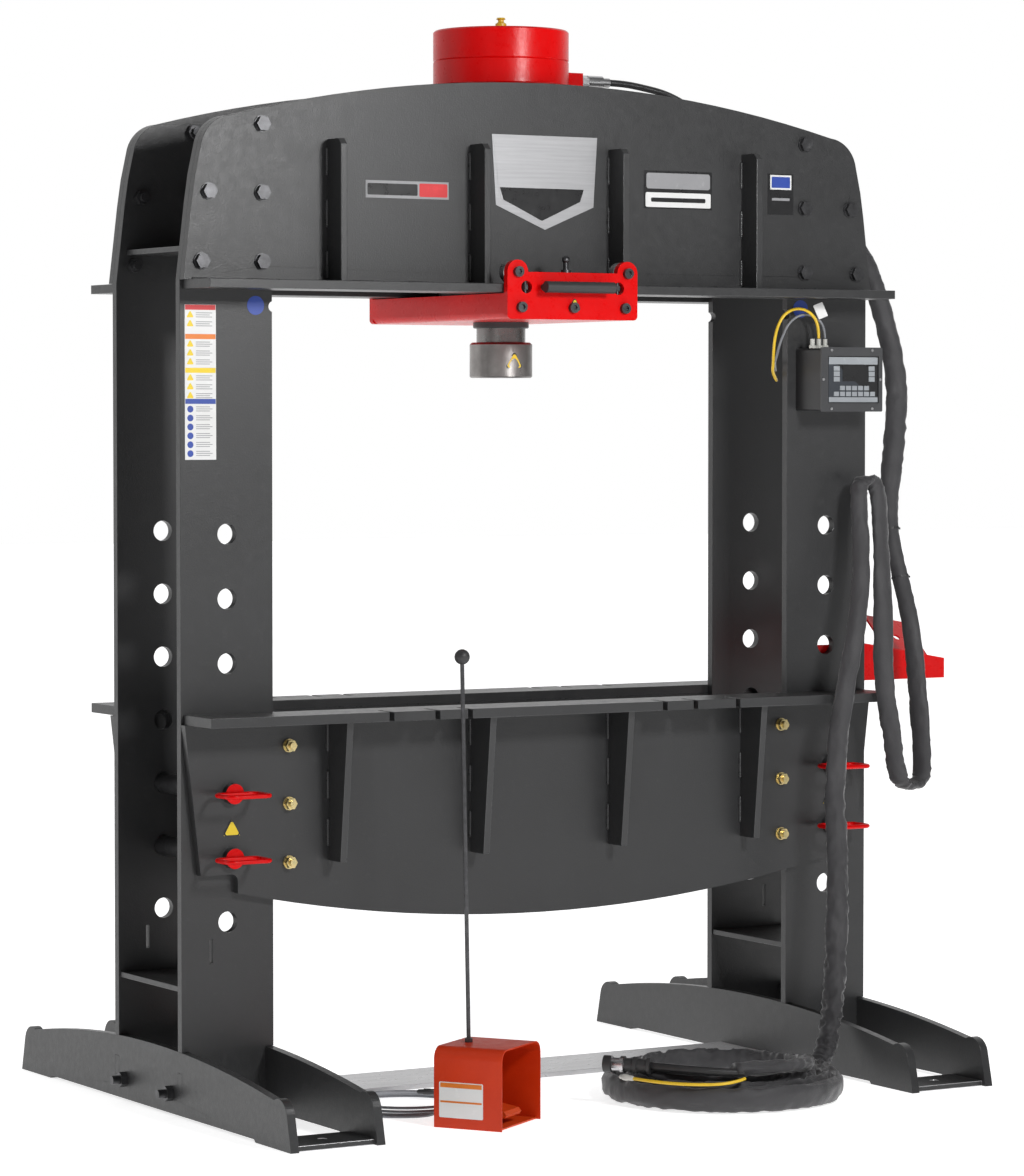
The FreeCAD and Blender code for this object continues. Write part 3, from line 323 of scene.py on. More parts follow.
# Two hoses and a lead come out of the sleeve's mouth and lie on the coil.
hoseTail = {
    "diameter": 0.018,
    "route": [(0.204, -0.722, 0.090), (0.186, -0.7125, 0.090), (0.158, -0.695, 0.091),
              (0.124, -0.664, 0.093), (0.093, -0.624, 0.0945), (0.074, -0.585, 0.0945),
              (0.062, -0.560, 0.0945)],
}
hoseTwin = {
    "diameter": 0.016,
    "route": [(0.202, -0.706, 0.089), (0.184, -0.698, 0.089), (0.160, -0.678, 0.088),
              (0.134, -0.648, 0.086), (0.112, -0.610, 0.084), (0.100, -0.572, 0.083),
              (0.094, -0.535, 0.083), (0.083, -0.505, 0.083)],
    "ferrule": [(-0.004, 0.0085), (0.0, 0.0112), (0.004, 0.0118), (0.030, 0.0118), (0.034, 0.0108),
                (0.036, 0.0085), (0.038, 0.0085), (0.039, 0.0128), (0.052, 0.0128), (0.053, 0.0115),
                (0.060, 0.0095), (0.062, 0.006)],
}
leadTail = {
    "diameter": 0.0072,
    "route": [(0.200, -0.732, 0.078), (0.180, -0.736, 0.074), (0.140, -0.727, 0.069),
              (0.096, -0.700, 0.068), (0.056, -0.658, 0.068), (0.028, -0.606, 0.069),
              (0.016, -0.552, 0.069)],
    "plug": [(-0.006, 0.0037), (-0.003, 0.0058), (0.012, 0.0062), (0.014, 0.0072), (0.026, 0.0072),
             (0.028, 0.0052), (0.036, 0.005)],
}


def makeRound(name, spec, body="frame", replace=()):
    obj = layCord(name, spec["route"], spec.get("fineness", 12))
    line = centreLine(obj)
    obj.data.bevel_depth = spec["diameter"] / 2
    obj.data.bevel_resolution = 5
    obj.data.use_fill_caps = True
    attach(obj, body)
    if replace:
        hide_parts(*replace)
    return obj, line


def onTheEnd(line, profile):
    # moves a profile from the end of the line to distances along it
    whole = lengthOf(line)
    return [(whole + along, radius) for along, radius in profile]


steelHose, steelHoseLine = makeRound("pressureHose", hoseTail)
twinHose, twinLine = makeRound("returnHose", hoseTwin)
yellowLead, leadLine = makeRound("sensorLead", leadTail)
twinFerrule = pipe("returnHoseFerrule", twinLine, onTheEnd(twinLine, hoseTwin["ferrule"]))
leadPlug = pipe("sensorLeadPlug", leadLine, onTheEnd(leadLine, leadTail["plug"]))

overhead = {
    "diameter": 0.016,
    "route": [(0.294, 0, 2.333), (0.332, 0, 2.333), (0.390, -0.0015, 2.325), (0.448, -0.0035, 2.314),
              (0.502, -0.0035, 2.293), (0.550, -0.0015, 2.262), (0.588, 0.0015, 2.218),
              (0.610, 0.0045, 2.165), (0.618, 0.0065, 2.105)],
}
yellowCable = {
    "diameter": 0.0072,
    "route": [(0.740, -0.2265, 1.7322), (0.741, -0.2245, 1.756), (0.735, -0.2185, 1.782),
              (0.712, -0.2135, 1.801), (0.680, -0.2115, 1.803), (0.652, -0.2105, 1.789),
              (0.636, -0.2075, 1.762), (0.631, -0.2015, 1.730), (0.636, -0.1895, 1.698),
              (0.650, -0.1675, 1.672), (0.668, -0.1375, 1.650), (0.696, -0.1135, 1.634)],
}
greyCable = {
    "diameter": 0.006,
    "route": [(0.758, -0.2265, 1.7322), (0.760, -0.2215, 1.754), (0.754, -0.2115, 1.776),
              (0.732, -0.1995, 1.790), (0.704, -0.1955, 1.788), (0.676, -0.1935, 1.768),
              (0.662, -0.1895, 1.738), (0.658, -0.1795, 1.712), (0.664, -0.1615, 1.690),
              (0.673, -0.1375, 1.673), (0.695, -0.1115, 1.657)],
}
overheadHose, overheadLine = makeRound("overheadHose", overhead, "carriage", ["overhead_hose"])
yellowWire, yellowLine = makeRound("yellowCable", yellowCable, "frame", ["yellow_cable"])
greyWire, greyLine = makeRound("greyCable", greyCable, "frame", ["grey_cable"])

# The foot switch's lead leaves the guard and lies beside it in loose turns.
footLead = {
    "diameter": 0.0065,
    "route": [(-0.403, -0.4872, 0.025), (-0.411, -0.4745, 0.024), (-0.421, -0.4585, 0.017),
              (-0.430, -0.4435, 0.011), (-0.4375, -0.4300, 0.005)],
    "centre": (-0.420, -0.2715),
    "steps": 46,
    "stepTurn": 0.078,
    "firstTurn": 0.31,
    "radii": [(0.30, 0.158), (0.7, 0.151), (1.1, 0.159), (1.6, 0.139), (2.1, 0.153), (2.6, 0.126),
              (3.1, 0.141), (3.6, 0.112), (4.0, 0.118)],
    "heights": [(0.30, 0.0035), (1.0, 0.0040), (1.5, 0.0085), (2.2, 0.0110), (2.9, 0.0150), (3.4, 0.0185),
                (4.0, 0.0200)],
    "plug": [(-0.010, 0.0034), (-0.006, 0.0052), (0.004, 0.0058), (0.006, 0.0072), (0.020, 0.0072),
             (0.022, 0.0066), (0.034, 0.0066), (0.035, 0.0048), (0.042, 0.0046)],
    "relief": [(0.0, 0.0062), (0.004, 0.0060), (0.005, 0.0050), (0.008, 0.0056), (0.009, 0.0047),
               (0.012, 0.0052), (0.013, 0.0044), (0.016, 0.0048), (0.017, 0.0040), (0.022, 0.0036)],
}


def footPoints(spec):
    points = list(spec["route"])
    for k in range(spec["steps"] + 1):
        turn = spec["firstTurn"] + k * spec["stepTurn"]
        angle = -2 * math.pi * turn
        radius = between(spec["radii"], turn)
        points.append((
            spec["centre"][0] + radius * math.cos(angle) - 0.004 * math.sin(1.7 * turn),
            spec["centre"][1] + radius * 0.97 * math.sin(angle),
            between(spec["heights"], turn),
        ))
    return points


footSpec = {**footLead, "route": footPoints(footLead), "fineness": 8}
footWire, footLine = makeRound("footSwitchLead", footSpec, "frame", ["foot_cord", "foot_cord_coil"])
footPlug = pipe("footSwitchPlug", footLine, onTheEnd(footLine, footLead["plug"]))
footRelief = pipe("footSwitchRelief", footLine, footLead["relief"])


print("cords laid: sleeve", round(lengthOf(sleeveLine), 2), "m, foot lead", round(lengthOf(footLine), 2),
      "m")


def freshFinish(name):
    mat = bpy.data.materials.new(name)
    mat.use_nodes = True
    tree = mat.node_tree
    return mat, tree, tree.nodes["Principled BSDF"]


def add(tree, kind, inputs=None, **settings):
    node = tree.nodes.new(kind)
    for key, value in settings.items():
        setattr(node, key, value)
    for key, value in (inputs or {}).items():
        if isinstance(value, bpy.types.NodeSocket):
            tree.links.new(value, node.inputs[key])
        else:
            node.inputs[key].default_value = value
    return node


def placeOn(tree, stretch=(1, 1, 1)):
    where = add(tree, "ShaderNodeTexCoord").outputs["Object"]
    return add(tree, "ShaderNodeMapping", {"Vector": where, "Scale": stretch}).outputs["Vector"]


def blotches(tree, where, scale, detail=3.0, roughness=0.55):
    inputs = {"Vector": where, "Scale": scale, "Detail": detail, "Roughness": roughness}
    return add(tree, "ShaderNodeTexNoise", inputs).outputs["Fac"]


def waves(tree, where, scale, direction, distortion):
    inputs = {"Vector": where, "Scale": scale, "Distortion": distortion}
    return add(tree, "ShaderNodeTexWave", inputs, bands_direction=direction).outputs["Fac"]


def stretchRange(tree, value, low, high, fromLow=0.3, fromHigh=0.7):
    inputs = {"Value": value, "From Min": fromLow, "From Max": fromHigh, "To Min": low, "To Max": high}
    return add(tree, "ShaderNodeMapRange", inputs).outputs["Result"]


def mixColours(tree, share, first, second):
    node = add(tree, "ShaderNodeMix", data_type="RGBA")
    tree.links.new(share, node.inputs["Factor"])
    for socket, value in ((node.inputs[6], first), (node.inputs[7], second)):
        if isinstance(value, bpy.types.NodeSocket):
            tree.links.new(value, socket)
        else:
            socket.default_value = (*value, 1)
    return node.outputs[2]


def bumps(tree, height, depth, strength=1.0, under=None):
    node = add(tree, "ShaderNodeBump", {"Height": height, "Distance": depth, "Strength": strength})
    if under is not None:
        tree.links.new(under, node.inputs["Normal"])
    return node.outputs["Normal"]


def coated(name, spec):
    # paint, plastic and metal: blotched colour, uneven gloss, a fine grain and scuffs
    mat, tree, shader = freshFinish(name)
    where = placeOn(tree, spec.get("stretch", (1, 1, 1)))
    broad = blotches(tree, where, spec.get("blotch", 6.0), 4)
    colour = mixColours(tree, stretchRange(tree, broad, 0, 1), spec["colour"],
                        spec.get("second", [c * 0.8 for c in spec["colour"]]))
    dust = blotches(tree, where, spec.get("dustScale", 40.0), 6, 0.7)
    speck = stretchRange(tree, dust, 0, spec.get("dust", 0.25), 0.58, 0.72)
    colour = mixColours(tree, speck, colour,
                        spec.get("dustColour", [min(1, c * 1.5 + 0.01) for c in spec["colour"]]))
    tree.links.new(colour, shader.inputs["Base Color"])
    low, high = spec["rough"]
    tree.links.new(stretchRange(tree, dust, low, high), shader.inputs["Roughness"])
    shader.inputs["Metallic"].default_value = spec.get("metal", 0.0)
    shader.inputs["Specular IOR Level"].default_value = spec.get("shine", 0.5)
    grain = blotches(tree, where, spec.get("grain", 400.0), 3, 0.6)
    normal = bumps(tree, grain, spec.get("grainDepth", 0.0002))
    if spec.get("peel"):
        normal = bumps(tree, blotches(tree, where, spec["peel"], 1.5, 0.4), spec["peelDepth"], under=normal)
    tree.links.new(normal, shader.inputs["Normal"])
    return mat


frameEnamel = {
    "colour": (0.0285, 0.0289, 0.030), "second": (0.0245, 0.0247, 0.0255), "blotch": 5, "dust": 0.35,
    "dustColour": (0.046, 0.047, 0.049), "dustScale": 60, "rough": (0.32, 0.46), "grain": 620,
    "grainDepth": 0.00020, "peel": 260, "peelDepth": 0.00022, "shine": 0.5,
}
redEnamel = {
    "colour": (0.64, 0.0, 0.0005), "second": (0.57, 0.0, 0.0005), "blotch": 8, "dust": 0.12,
    "dustColour": (0.54, 0.002, 0.002), "rough": (0.24, 0.36), "shine": 0.2, "grain": 300, "grainDepth": 0.00008,
    "peel": 120, "peelDepth": 0.00025,
}
# Each slot's material and what it is mixed from.
coats = {
    "frame_paint": ("frameEnamel", frameEnamel),
    "frame_edge": ("frameEnamelEdge", {
        **frameEnamel, "colour": (0.052, 0.053, 0.055), "rough": (0.24, 0.36),
    }),
    "red_paint": ("redEnamel", redEnamel),
    "red_edge": ("redEnamelEdge", {**redEnamel, "colour": (0.55, 0.006, 0.006), "rough": (0.2, 0.3)}),
    "barrel_paint": ("barrelEnamel", {
        "colour": (0.03, 0.03, 0.032), "rough": (0.34, 0.5), "grainDepth": 0.0001,
    }),
    "orange_paint": ("guardEnamel", {
        "colour": (0.58, 0.036, 0.002), "second": (0.50, 0.026, 0.0015), "blotch": 9,
        "rough": (0.34, 0.5), "dust": 0.2, "dustColour": (0.62, 0.06, 0.008), "shine": 0.35, "grain": 600,
        "grainDepth": 0.0002, "peel": 220, "peelDepth": 0.0003,
    }),
    "orange_plastic": ("pedalPlastic", {
        "colour": (0.62, 0.06, 0.004), "rough": (0.4, 0.55), "grain": 900, "grainDepth": 0.0001,
    }),
    "yellow_zinc": ("yellowZinc", {
        "colour": (0.72, 0.56, 0.27), "second": (0.52, 0.46, 0.24), "blotch": 90, "dustScale": 160,
        "dust": 0.5, "dustColour": (0.75, 0.42, 0.30), "rough": (0.22, 0.4), "metal": 1.0,
        "grainDepth": 0.00005,
    }),
    "black_screws": ("blackOxide", {
        "colour": (0.10, 0.10, 0.105), "second": (0.06, 0.06, 0.062), "blotch": 60, "rough": (0.28, 0.42),
        "metal": 0.85, "dust": 0.4, "dustColour": (0.2, 0.2, 0.2), "grainDepth": 0.00006,
    }),
    "roller_steel": ("groundSteel", {
        "colour": (0.60, 0.60, 0.61), "second": (0.50, 0.50, 0.51), "blotch": 50, "rough": (0.22, 0.38),
        "metal": 1.0, "stretch": (1, 1, 12), "grain": 300, "grainDepth": 0.00005,
    }),
    "chrome_rod": ("rodSteel", {
        "colour": (0.24, 0.235, 0.23), "second": (0.19, 0.185, 0.18), "rough": (0.22, 0.34), "metal": 1.0,
        "grainDepth": 0.00001,
    }),
    "black_rubber": ("blackRubber", {
        "colour": (0.020, 0.020, 0.021), "second": (0.028, 0.028, 0.029), "rough": (0.42, 0.6),
        "grain": 700, "grainDepth": 0.00012, "dust": 0.3, "dustColour": (0.05, 0.05, 0.05),
    }),
    "yellow_plastic": ("yellowPlastic", {
        "colour": (0.78, 0.50, 0.03), "rough": (0.32, 0.45), "grainDepth": 0.00006,
    }),
    "box_black": ("caseBlack", {
        "colour": (0.016, 0.016, 0.017), "rough": (0.3, 0.42), "grain": 800, "grainDepth": 0.00015,
        "dust": 0.2,
    }),
    "box_face": ("faceGrey", {
        "colour": (0.050, 0.051, 0.054), "rough": (0.32, 0.42), "grain": 800, "grainDepth": 0.00012,
        "dust": 0.2,
    }),
    "keypad_grey": ("padSlate", {
        "colour": (0.030, 0.036, 0.045), "rough": (0.35, 0.5), "grain": 900, "grainDepth": 0.00006,
    }),
    "key_grey": ("keyGrey", {
        "colour": (0.30, 0.32, 0.34), "rough": (0.4, 0.55), "grain": 900, "grainDepth": 0.00008,
    }),
    "label_white": ("vinylWhite", {
        "colour": (0.72, 0.72, 0.72), "second": (0.68, 0.68, 0.67), "rough": (0.32, 0.45),
        "grainDepth": 0.00003,
    }),
    "label_silver": ("vinylSilver", {
        "colour": (0.42, 0.42, 0.43), "second": (0.36, 0.36, 0.37), "metal": 0.6, "rough": (0.34, 0.44),
        "stretch": (1, 1, 30), "grainDepth": 0.00004,
    }),
    "label_black": ("vinylBlack", {
        "colour": (0.014, 0.014, 0.015), "rough": (0.25, 0.35), "grainDepth": 0.00003,
    }),
    "label_yellow": ("vinylYellow", {
        "colour": (0.82, 0.60, 0.02), "rough": (0.3, 0.4), "grainDepth": 0.00003,
    }),
    "label_red": ("vinylRed", {"colour": (0.6, 0.02, 0.025), "rough": (0.3, 0.4), "grainDepth": 0.00003}),
    "label_orange": ("vinylOrange", {
        "colour": (0.75, 0.20, 0.02), "rough": (0.3, 0.4), "grainDepth": 0.00003,
    }),
    "label_blue": ("vinylBlue", {"colour": (0.03, 0.07, 0.36), "rough": (0.3, 0.4), "grainDepth": 0.00003}),
    "label_grey": ("vinylInk", {
        "colour": (0.30, 0.30, 0.31), "rough": (0.35, 0.45), "grainDepth": 0.00003,
    }),
    "cable_yellow": ("yellowJacket", {
        "colour": (0.80, 0.52, 0.02), "rough": (0.35, 0.5), "grain": 500, "grainDepth": 0.00008,
    }),
    "cable_grey": ("greyJacket", {
        "colour": (0.24, 0.25, 0.27), "rough": (0.35, 0.5), "grain": 500, "grainDepth": 0.00008,
    }),
    "clear_plastic": ("paleNylon", {
        "colour": (0.62, 0.62, 0.58), "rough": (0.25, 0.4), "grainDepth": 0.00005,
    }),
    # the tie plate's dark paint, coloured light grey and part metal: a painted reflection of its bright grazing
    # reflection
    "tie_painted_reflection": ("tiePaintedReflection", {
        "colour": (0.52, 0.52, 0.53), "second": (0.44, 0.44, 0.45), "blotch": 7, "dustScale": 30,
        "metal": 0.4, "rough": (0.24, 0.4), "stretch": (1, 6, 1), "grainDepth": 0.00008,
    }),
}
finishes = {slot: coated(name, spec) for slot, (name, spec) in coats.items()}


def turnedSteel(spec):
    # lathe rings up the ram's nose
    mat, tree, shader = freshFinish("turnedSteel")
    where = placeOn(tree)
    rings = waves(tree, where, spec["rings"], "Z", 1.2)
    cloud = blotches(tree, where, spec["cloud"], 5)
    colour = mixColours(tree, stretchRange(tree, cloud, 0, 1), spec["colour"], spec["second"])
    tree.links.new(colour, shader.inputs["Base Color"])
    tree.links.new(stretchRange(tree, cloud, 0.26, 0.42), shader.inputs["Roughness"])
    tree.links.new(bumps(tree, rings, 0.00006, 0.8), shader.inputs["Normal"])
    shader.inputs["Metallic"].default_value = 1.0
    return mat


def wovenNylon(spec):
    # plain weave, with a painted sheen: the yarns are coloured lighter where they lie flat
    mat, tree, shader = freshFinish("wovenNylon")
    where = placeOn(tree)
    warp = waves(tree, where, spec["yarns"], "DIAGONAL", 0.6)
    weft = waves(tree, where, spec["yarns"], "Z", 0.6)
    weave = add(tree, "ShaderNodeMath", {0: warp, 1: weft}, operation="MULTIPLY").outputs[0]
    cloud = blotches(tree, where, 9, 5)
    colour = mixColours(tree, stretchRange(tree, cloud, 0, 1), spec["colour"], spec["second"])
    # painted sheen: the weave's raised yarns get the lighter colour
    colour = mixColours(tree, stretchRange(tree, weave, 0, 0.3, 0, 1), colour, spec["paintedYarnSheen"])
    tree.links.new(colour, shader.inputs["Base Color"])
    tree.links.new(stretchRange(tree, cloud, 0.52, 0.7), shader.inputs["Roughness"])
    shader.inputs["Sheen Weight"].default_value = spec["sheen"]
    shader.inputs["Sheen Roughness"].default_value = 0.4
    rumple = bumps(tree, blotches(tree, where, 55, 4), 0.0022, 0.6)
    tree.links.new(bumps(tree, weave, 0.0002, 0.7, rumple), shader.inputs["Normal"])
    return mat


def ribbedHose(spec):
    # hydraulic hose jacket with a fine cloth print
    mat, tree, shader = freshFinish("hoseJacket")
    where = placeOn(tree)
    clothPrint = waves(tree, where, spec["wraps"], "X", 0.4)
    colour = mixColours(tree, stretchRange(tree, blotches(tree, where, 60), 0, 1), spec["colour"],
                        spec["second"])
    tree.links.new(colour, shader.inputs["Base Color"])
    tree.links.new(stretchRange(tree, clothPrint, 0.3, 0.46, 0, 1), shader.inputs["Roughness"])
    tree.links.new(bumps(tree, clothPrint, 0.0002, 0.6), shader.inputs["Normal"])
    return mat


finishes["ram_steel"] = turnedSteel({"rings": 260, "cloud": 22, "colour": (0.30, 0.285, 0.275),
                                     "second": (0.20, 0.19, 0.185)})
# the third colour is painted sheen on the yarns
finishes["sleeve_fabric"] = wovenNylon({"yarns": 330, "colour": (0.036, 0.035, 0.038),
                                        "second": (0.028, 0.0275, 0.030),
                                        "paintedYarnSheen": (0.065, 0.063, 0.066), "sheen": 0.35})
finishes["hose"] = ribbedHose({"wraps": 420, "colour": (0.016, 0.016, 0.017),
                               "second": (0.024, 0.024, 0.025)})
print(len(finishes), "finishes mixed")


def paint(obj, *names):
    obj.data.materials.clear()
    for name in names:
        obj.data.materials.append(finishes[name])


# Cut edges are rolled a little, so that they catch the light.
rolled = {"join": 0.00002, "segments": 2, "angle": 38, "weight": 60}


def dress(name, finish, edge=None, width=0.0, flat=False):
    obj = nodes[name]
    paint(obj, finish, edge or finish)
    for face in obj.data.polygons:
        face.material_index = 0
    if width:
        weld = obj.modifiers.new("join", "WELD")
        weld.merge_threshold = rolled["join"]
        roll = obj.modifiers.new("rolledEdges", "BEVEL")
        roll.width = width
        roll.segments = rolled["segments"]
        roll.limit_method = "ANGLE"
        roll.angle_limit = math.radians(rolled["angle"])
        roll.use_clamp_overlap = True
        if edge:
            roll.material = 1
        for face in obj.data.polygons:
            face.use_smooth = not flat
        if not flat:
            even = obj.modifiers.new("evenShade", "WEIGHTED_NORMAL")
            even.keep_sharp = False
            even.weight = rolled["weight"]


bigPlates = ["right_front_upright", "right_rear_upright", "left_front_upright", "left_rear_upright",
             "post_cross_plates", "front_beam_plate", "rear_beam_plate", "beam_flanges", "beam_ribs",
             "front_bed_plate", "rear_bed_plate", "bed_flanges", "bed_ribs", "bed_spacers",
             "right_outer_foot", "right_inner_foot", "left_outer_foot", "left_inner_foot", "floor_plates"]
plateEdge = 0.0014
redEdge = 0.0012
redParts = ["carriage_front_plate", "carriage_rear_plate", "carriage_deck", "cylinder_cap", "pedal_hanger"]
pins = ["left_upper_pin", "left_lower_pin", "right_upper_pin", "right_lower_pin"]
for name in bigPlates:
    # the bed's plates, with their rows of holes, keep sharp edges
    dress(name, "frame_paint", "frame_edge", 0 if name.endswith("bed_plate") else plateEdge, flat=True)
for name in redParts:
    dress(name, "red_paint", "red_edge", redEdge)
for name in pins:
    dress(name, "red_paint")
for name in ["roller_front_left", "roller_front_right", "roller_rear_left", "roller_rear_right",
             "hose_coupler"]:
    dress(name, "roller_steel")
for name, finish, width in [
    ("cylinder_barrel", "barrel_paint", 0.001), ("cylinder_gland", "barrel_paint", 0.0008),
    ("ram_rod", "chrome_rod", 0), ("ram_head", "ram_steel", 0.001), ("breather", "yellow_plastic", 0),
    ("frame_bolts", "black_screws", 0.0005), ("bed_bolts", "yellow_zinc", 0.0004),
    ("carriage_screws", "black_screws", 0.0003), ("lock_screw", "black_screws", 0),
    ("carriage_handle", "black_rubber", 0.0015), ("control_case", "box_black", 0.001),
    ("control_face", "box_face", 0.0006), ("foot_guard", "orange_paint", 0.0012),
    ("switch_base", "orange_plastic", 0.0008), ("foot_pedal", "orange_plastic", 0.001),
    ("carry_rod", "black_screws", 0), ("hose_end", "black_rubber", 0),
    ("box_fittings", "clear_plastic", 0.0003),
]:
    dress(name, finish, width=width)


def recolour(name, picks, base):
    # picks: (finish, test of a face's centre), later ones win
    obj = nodes[name]
    paint(obj, base, *[finish for finish, test in picks])
    for face in obj.data.polygons:
        face.material_index = 0
        for number, (finish, test) in enumerate(picks):
            if test(face.center):
                face.material_index = number + 1


# Where one node changes finish, in metres.
borders = {
    "tieHalf": (0.6875, 0.15),
    "tieTop": 0.0085,
    "pinShaft": -0.2065,
    "connectorNut": 1.7085,
    "hoseSteel": 0.012,
    "hoseJacket": -0.002,
    "carryBall": 0.995,
}
panel = {"screenX": (0.7725, 0.8391), "screenZ": (1.6304, 1.6691), "raisedY": -0.2793}


def onTie(c):
    return abs(c.x) < borders["tieHalf"][0] and abs(c.y) < borders["tieHalf"][1] and c.z > borders["tieTop"]


def onScreen(c):
    (left, right), (low, high) = panel["screenX"], panel["screenZ"]
    return left <= c.x <= right and low <= c.z <= high


# the tie plate takes the light grey finish, a painted grazing reflection on its dark paint
recolour("floor_plates", [("tie_painted_reflection", onTie)], "frame_paint")
for name in pins:
    recolour(name, [("black_screws", lambda c: c.y > borders["pinShaft"])], "red_paint")
recolour("keypad", [
    ("key_grey", lambda c: c.y < panel["raisedY"]),
    ("label_black", onScreen),
], "keypad_grey")
recolour("box_fittings", [("roller_steel", lambda c: c.z < borders["connectorNut"])], "clear_plastic")
recolour("hose_end", [("roller_steel", lambda c: c.x < borders["hoseSteel"]),
                      ("black_rubber", lambda c: c.x < borders["hoseJacket"])], "black_rubber")
recolour("carry_rod", [("black_rubber", lambda c: c.z > borders["carryBall"])], "black_screws")


# The blank labels are flat fields of colour only.
blanks = {
    "discs": ((-0.728, 1.792), (0.725, 1.803)),
    "discReach": 0.0225,
    "bedTop": 0.70,
    "beamLow": 1.95,
    "title": (0.27, 0.70),
    "shield": (-0.15, 0.15),
    "tag": (-0.47, -0.24),
}


def onDisc(c):
    reach = blanks["discReach"]
    return any(abs(c.x - x) < reach and abs(c.z - z) < reach for x, z in blanks["discs"])


def onBeam(piece):
    low, high = blanks[piece]
    return lambda c: low < c.x < high and c.z > blanks["beamLow"]


recolour("blank_labels", [
    ("label_blue", onDisc),
    ("label_yellow", lambda c: c.z < blanks["bedTop"]),
    ("label_black", onBeam("title")),
    ("label_silver", onBeam("shield")),
    ("label_grey", onBeam("tag")),
], "label_white")

paint(fabricSleeve, "sleeve_fabric")
for obj in (steelHose, twinHose, overheadHose):
    paint(obj, "hose")
for obj in (yellowLead, yellowWire):
    paint(obj, "cable_yellow")
for obj in (greyWire, footWire):
    paint(obj, "cable_grey")
for obj in (footPlug, footRelief, *sleeveTies):
    paint(obj, "black_rubber")
paint(twinFerrule, "roller_steel")
paint(leadPlug, "clear_plastic")
print("nodes dressed")


# Weld beads lie in the corners between plates.
weldBead = {"pitch": 0.0042, "leg": 0.0062, "sections": 4, "stitch": 0.062}


def beadRings(start, end, wallA, wallB, spec):
    # a stitch of weld in the corner between two plates: overlapping scallops
    start, end, wallA, wallB = (Vector(v) for v in (start, end, wallA, wallB))
    way = (end - start).normalized()
    long = (end - start).length
    count = max(6, round(long / spec["pitch"] * spec["sections"]))
    rings = []
    for i in range(count + 1):
        along = long * i / count
        scallop = (along / spec["pitch"]) % 1.0
        ends = min(1.0, 4 * min(along, long - along) / spec["leg"] + 0.25)
        uneven = noise.noise(Vector((along * 90, start.x * 31, start.z * 17)))
        leg = spec["leg"] * ends * (0.86 + 0.16 * math.sqrt(scallop) + 0.05 * uneven)
        centre = start + way * along
        ring = [centre - (wallA + wallB) * 0.0005]
        for j in range(6):
            angle = math.pi / 2 * j / 5
            bulge = 1 + 0.10 * math.sin(2 * angle)
            reach = leg * 0.80 * bulge
            ring.append(centre + wallA * math.cos(angle) * reach + wallB * math.sin(angle) * reach)
        rings.append(ring)
    return rings


def weldRow(name, stitches, spec=weldBead, body="frame", finish="frame_edge"):
    verts, faces = [], []
    for start, end, wallA, wallB in stitches:
        more, ends = skin(beadRings(start, end, wallA, wallB, spec))
        faces += [tuple(v + len(verts) for v in face) for face in ends]
        verts += more
    paint(fromMesh(name, verts, faces, body), finish)


def stitched(low, high, count, length):
    # even stitches from low to high, the first and last at the ends
    gap = (high - low - length) / max(1, count - 1)
    return [(low + gap * i, low + gap * i + length) for i in range(count)]


beam = {"plate": 0.1915, "ribs": (-0.551, -0.184, 0.184, 0.551), "half": 0.008, "low": 1.849,
        "high": 2.150, "flangeTop": 1.846, "reach": 0.895}
bed = {"plate": 0.1915, "ribs": (-0.551, -0.184, 0.184, 0.551), "half": 0.008, "low": 0.585, "high": 0.868,
       "flangeLow": 0.870, "reach": 0.895}


def ribStitches(spec, count):
    rows = []
    spans = stitched(spec["low"] + 0.004, spec["high"] - 0.006, count, weldBead["stitch"])
    for side in (-1, 1):
        y = side * spec["plate"]
        for rib in spec["ribs"]:
            for hand in (-1, 1):
                x = rib + hand * spec["half"]
                rows += [((x, y, low), (x, y, high), (hand, 0, 0), (0, side, 0)) for low, high in spans]
    return rows


def flangeStitches(spec, level, up, count):
    rows = []
    spans = stitched(-spec["reach"], spec["reach"], count, weldBead["stitch"])
    for side in (-1, 1):
        y = side * spec["plate"]
        for low, high in spans:
            # no stitch where a rib stands
            if all(abs((low + high) / 2 - rib) > 0.05 for rib in spec["ribs"]):
                rows.append(((low, y, level), (high, y, level), (0, side, 0), (0, 0, up)))
    return rows


weldRow("beamRibWelds", ribStitches(beam, 3))
weldRow("bedRibWelds", ribStitches(bed, 3))
weldRow("beamFlangeWelds", flangeStitches(beam, beam["flangeTop"], 1, 14))
weldRow("bedFlangeWelds", flangeStitches(bed, bed["flangeLow"], -1, 14))
print("welds laid")


def patch(name, outline, where, across, up, finish, body="frame", lift=0.00025, around=None):
    # a thin sticker; around is a radius where it lies on a cylinder about the part's Z axis
    where, across, up = Vector(where), Vector(across).normalized(), Vector(up).normalized()
    out = across.cross(up)
    ring = []
    for u, v in outline:
        if around:
            turn = math.atan2(where.y, where.x) + u / around
            outward = Vector((math.cos(turn), math.sin(turn), 0))
            ring.append(outward * (around + lift) + Vector((0, 0, where.z + v)))
        else:
            ring.append(where + across * u + up * v + out * lift)
    back = [p - (Vector((p.x, p.y, 0)).normalized() if around else out) * lift * 2 for p in ring]
    count = len(ring)
    faces = [tuple(range(count)), tuple(reversed(range(count, 2 * count)))]
    faces += [(i, i + count, (i + 1) % count + count, (i + 1) % count) for i in range(count)]
    obj = fromMesh(name, ring + back, faces, body, smooth=False)
    paint(obj, finish)
    return obj


def oblong(wide, high, corner=0.0):
    if not corner:
        return [(-wide / 2, -high / 2), (wide / 2, -high / 2), (wide / 2, high / 2), (-wide / 2, high / 2)]
    points = []
    for cx, cy, start in ((1, -1, -90), (1, 1, 0), (-1, 1, 90), (-1, -1, 180)):
        for k in range(5):
            a = math.radians(start + 22.5 * k)
            points.append((cx * (wide / 2 - corner) + corner * math.cos(a),
                           cy * (high / 2 - corner) + corner * math.sin(a)))
    return points


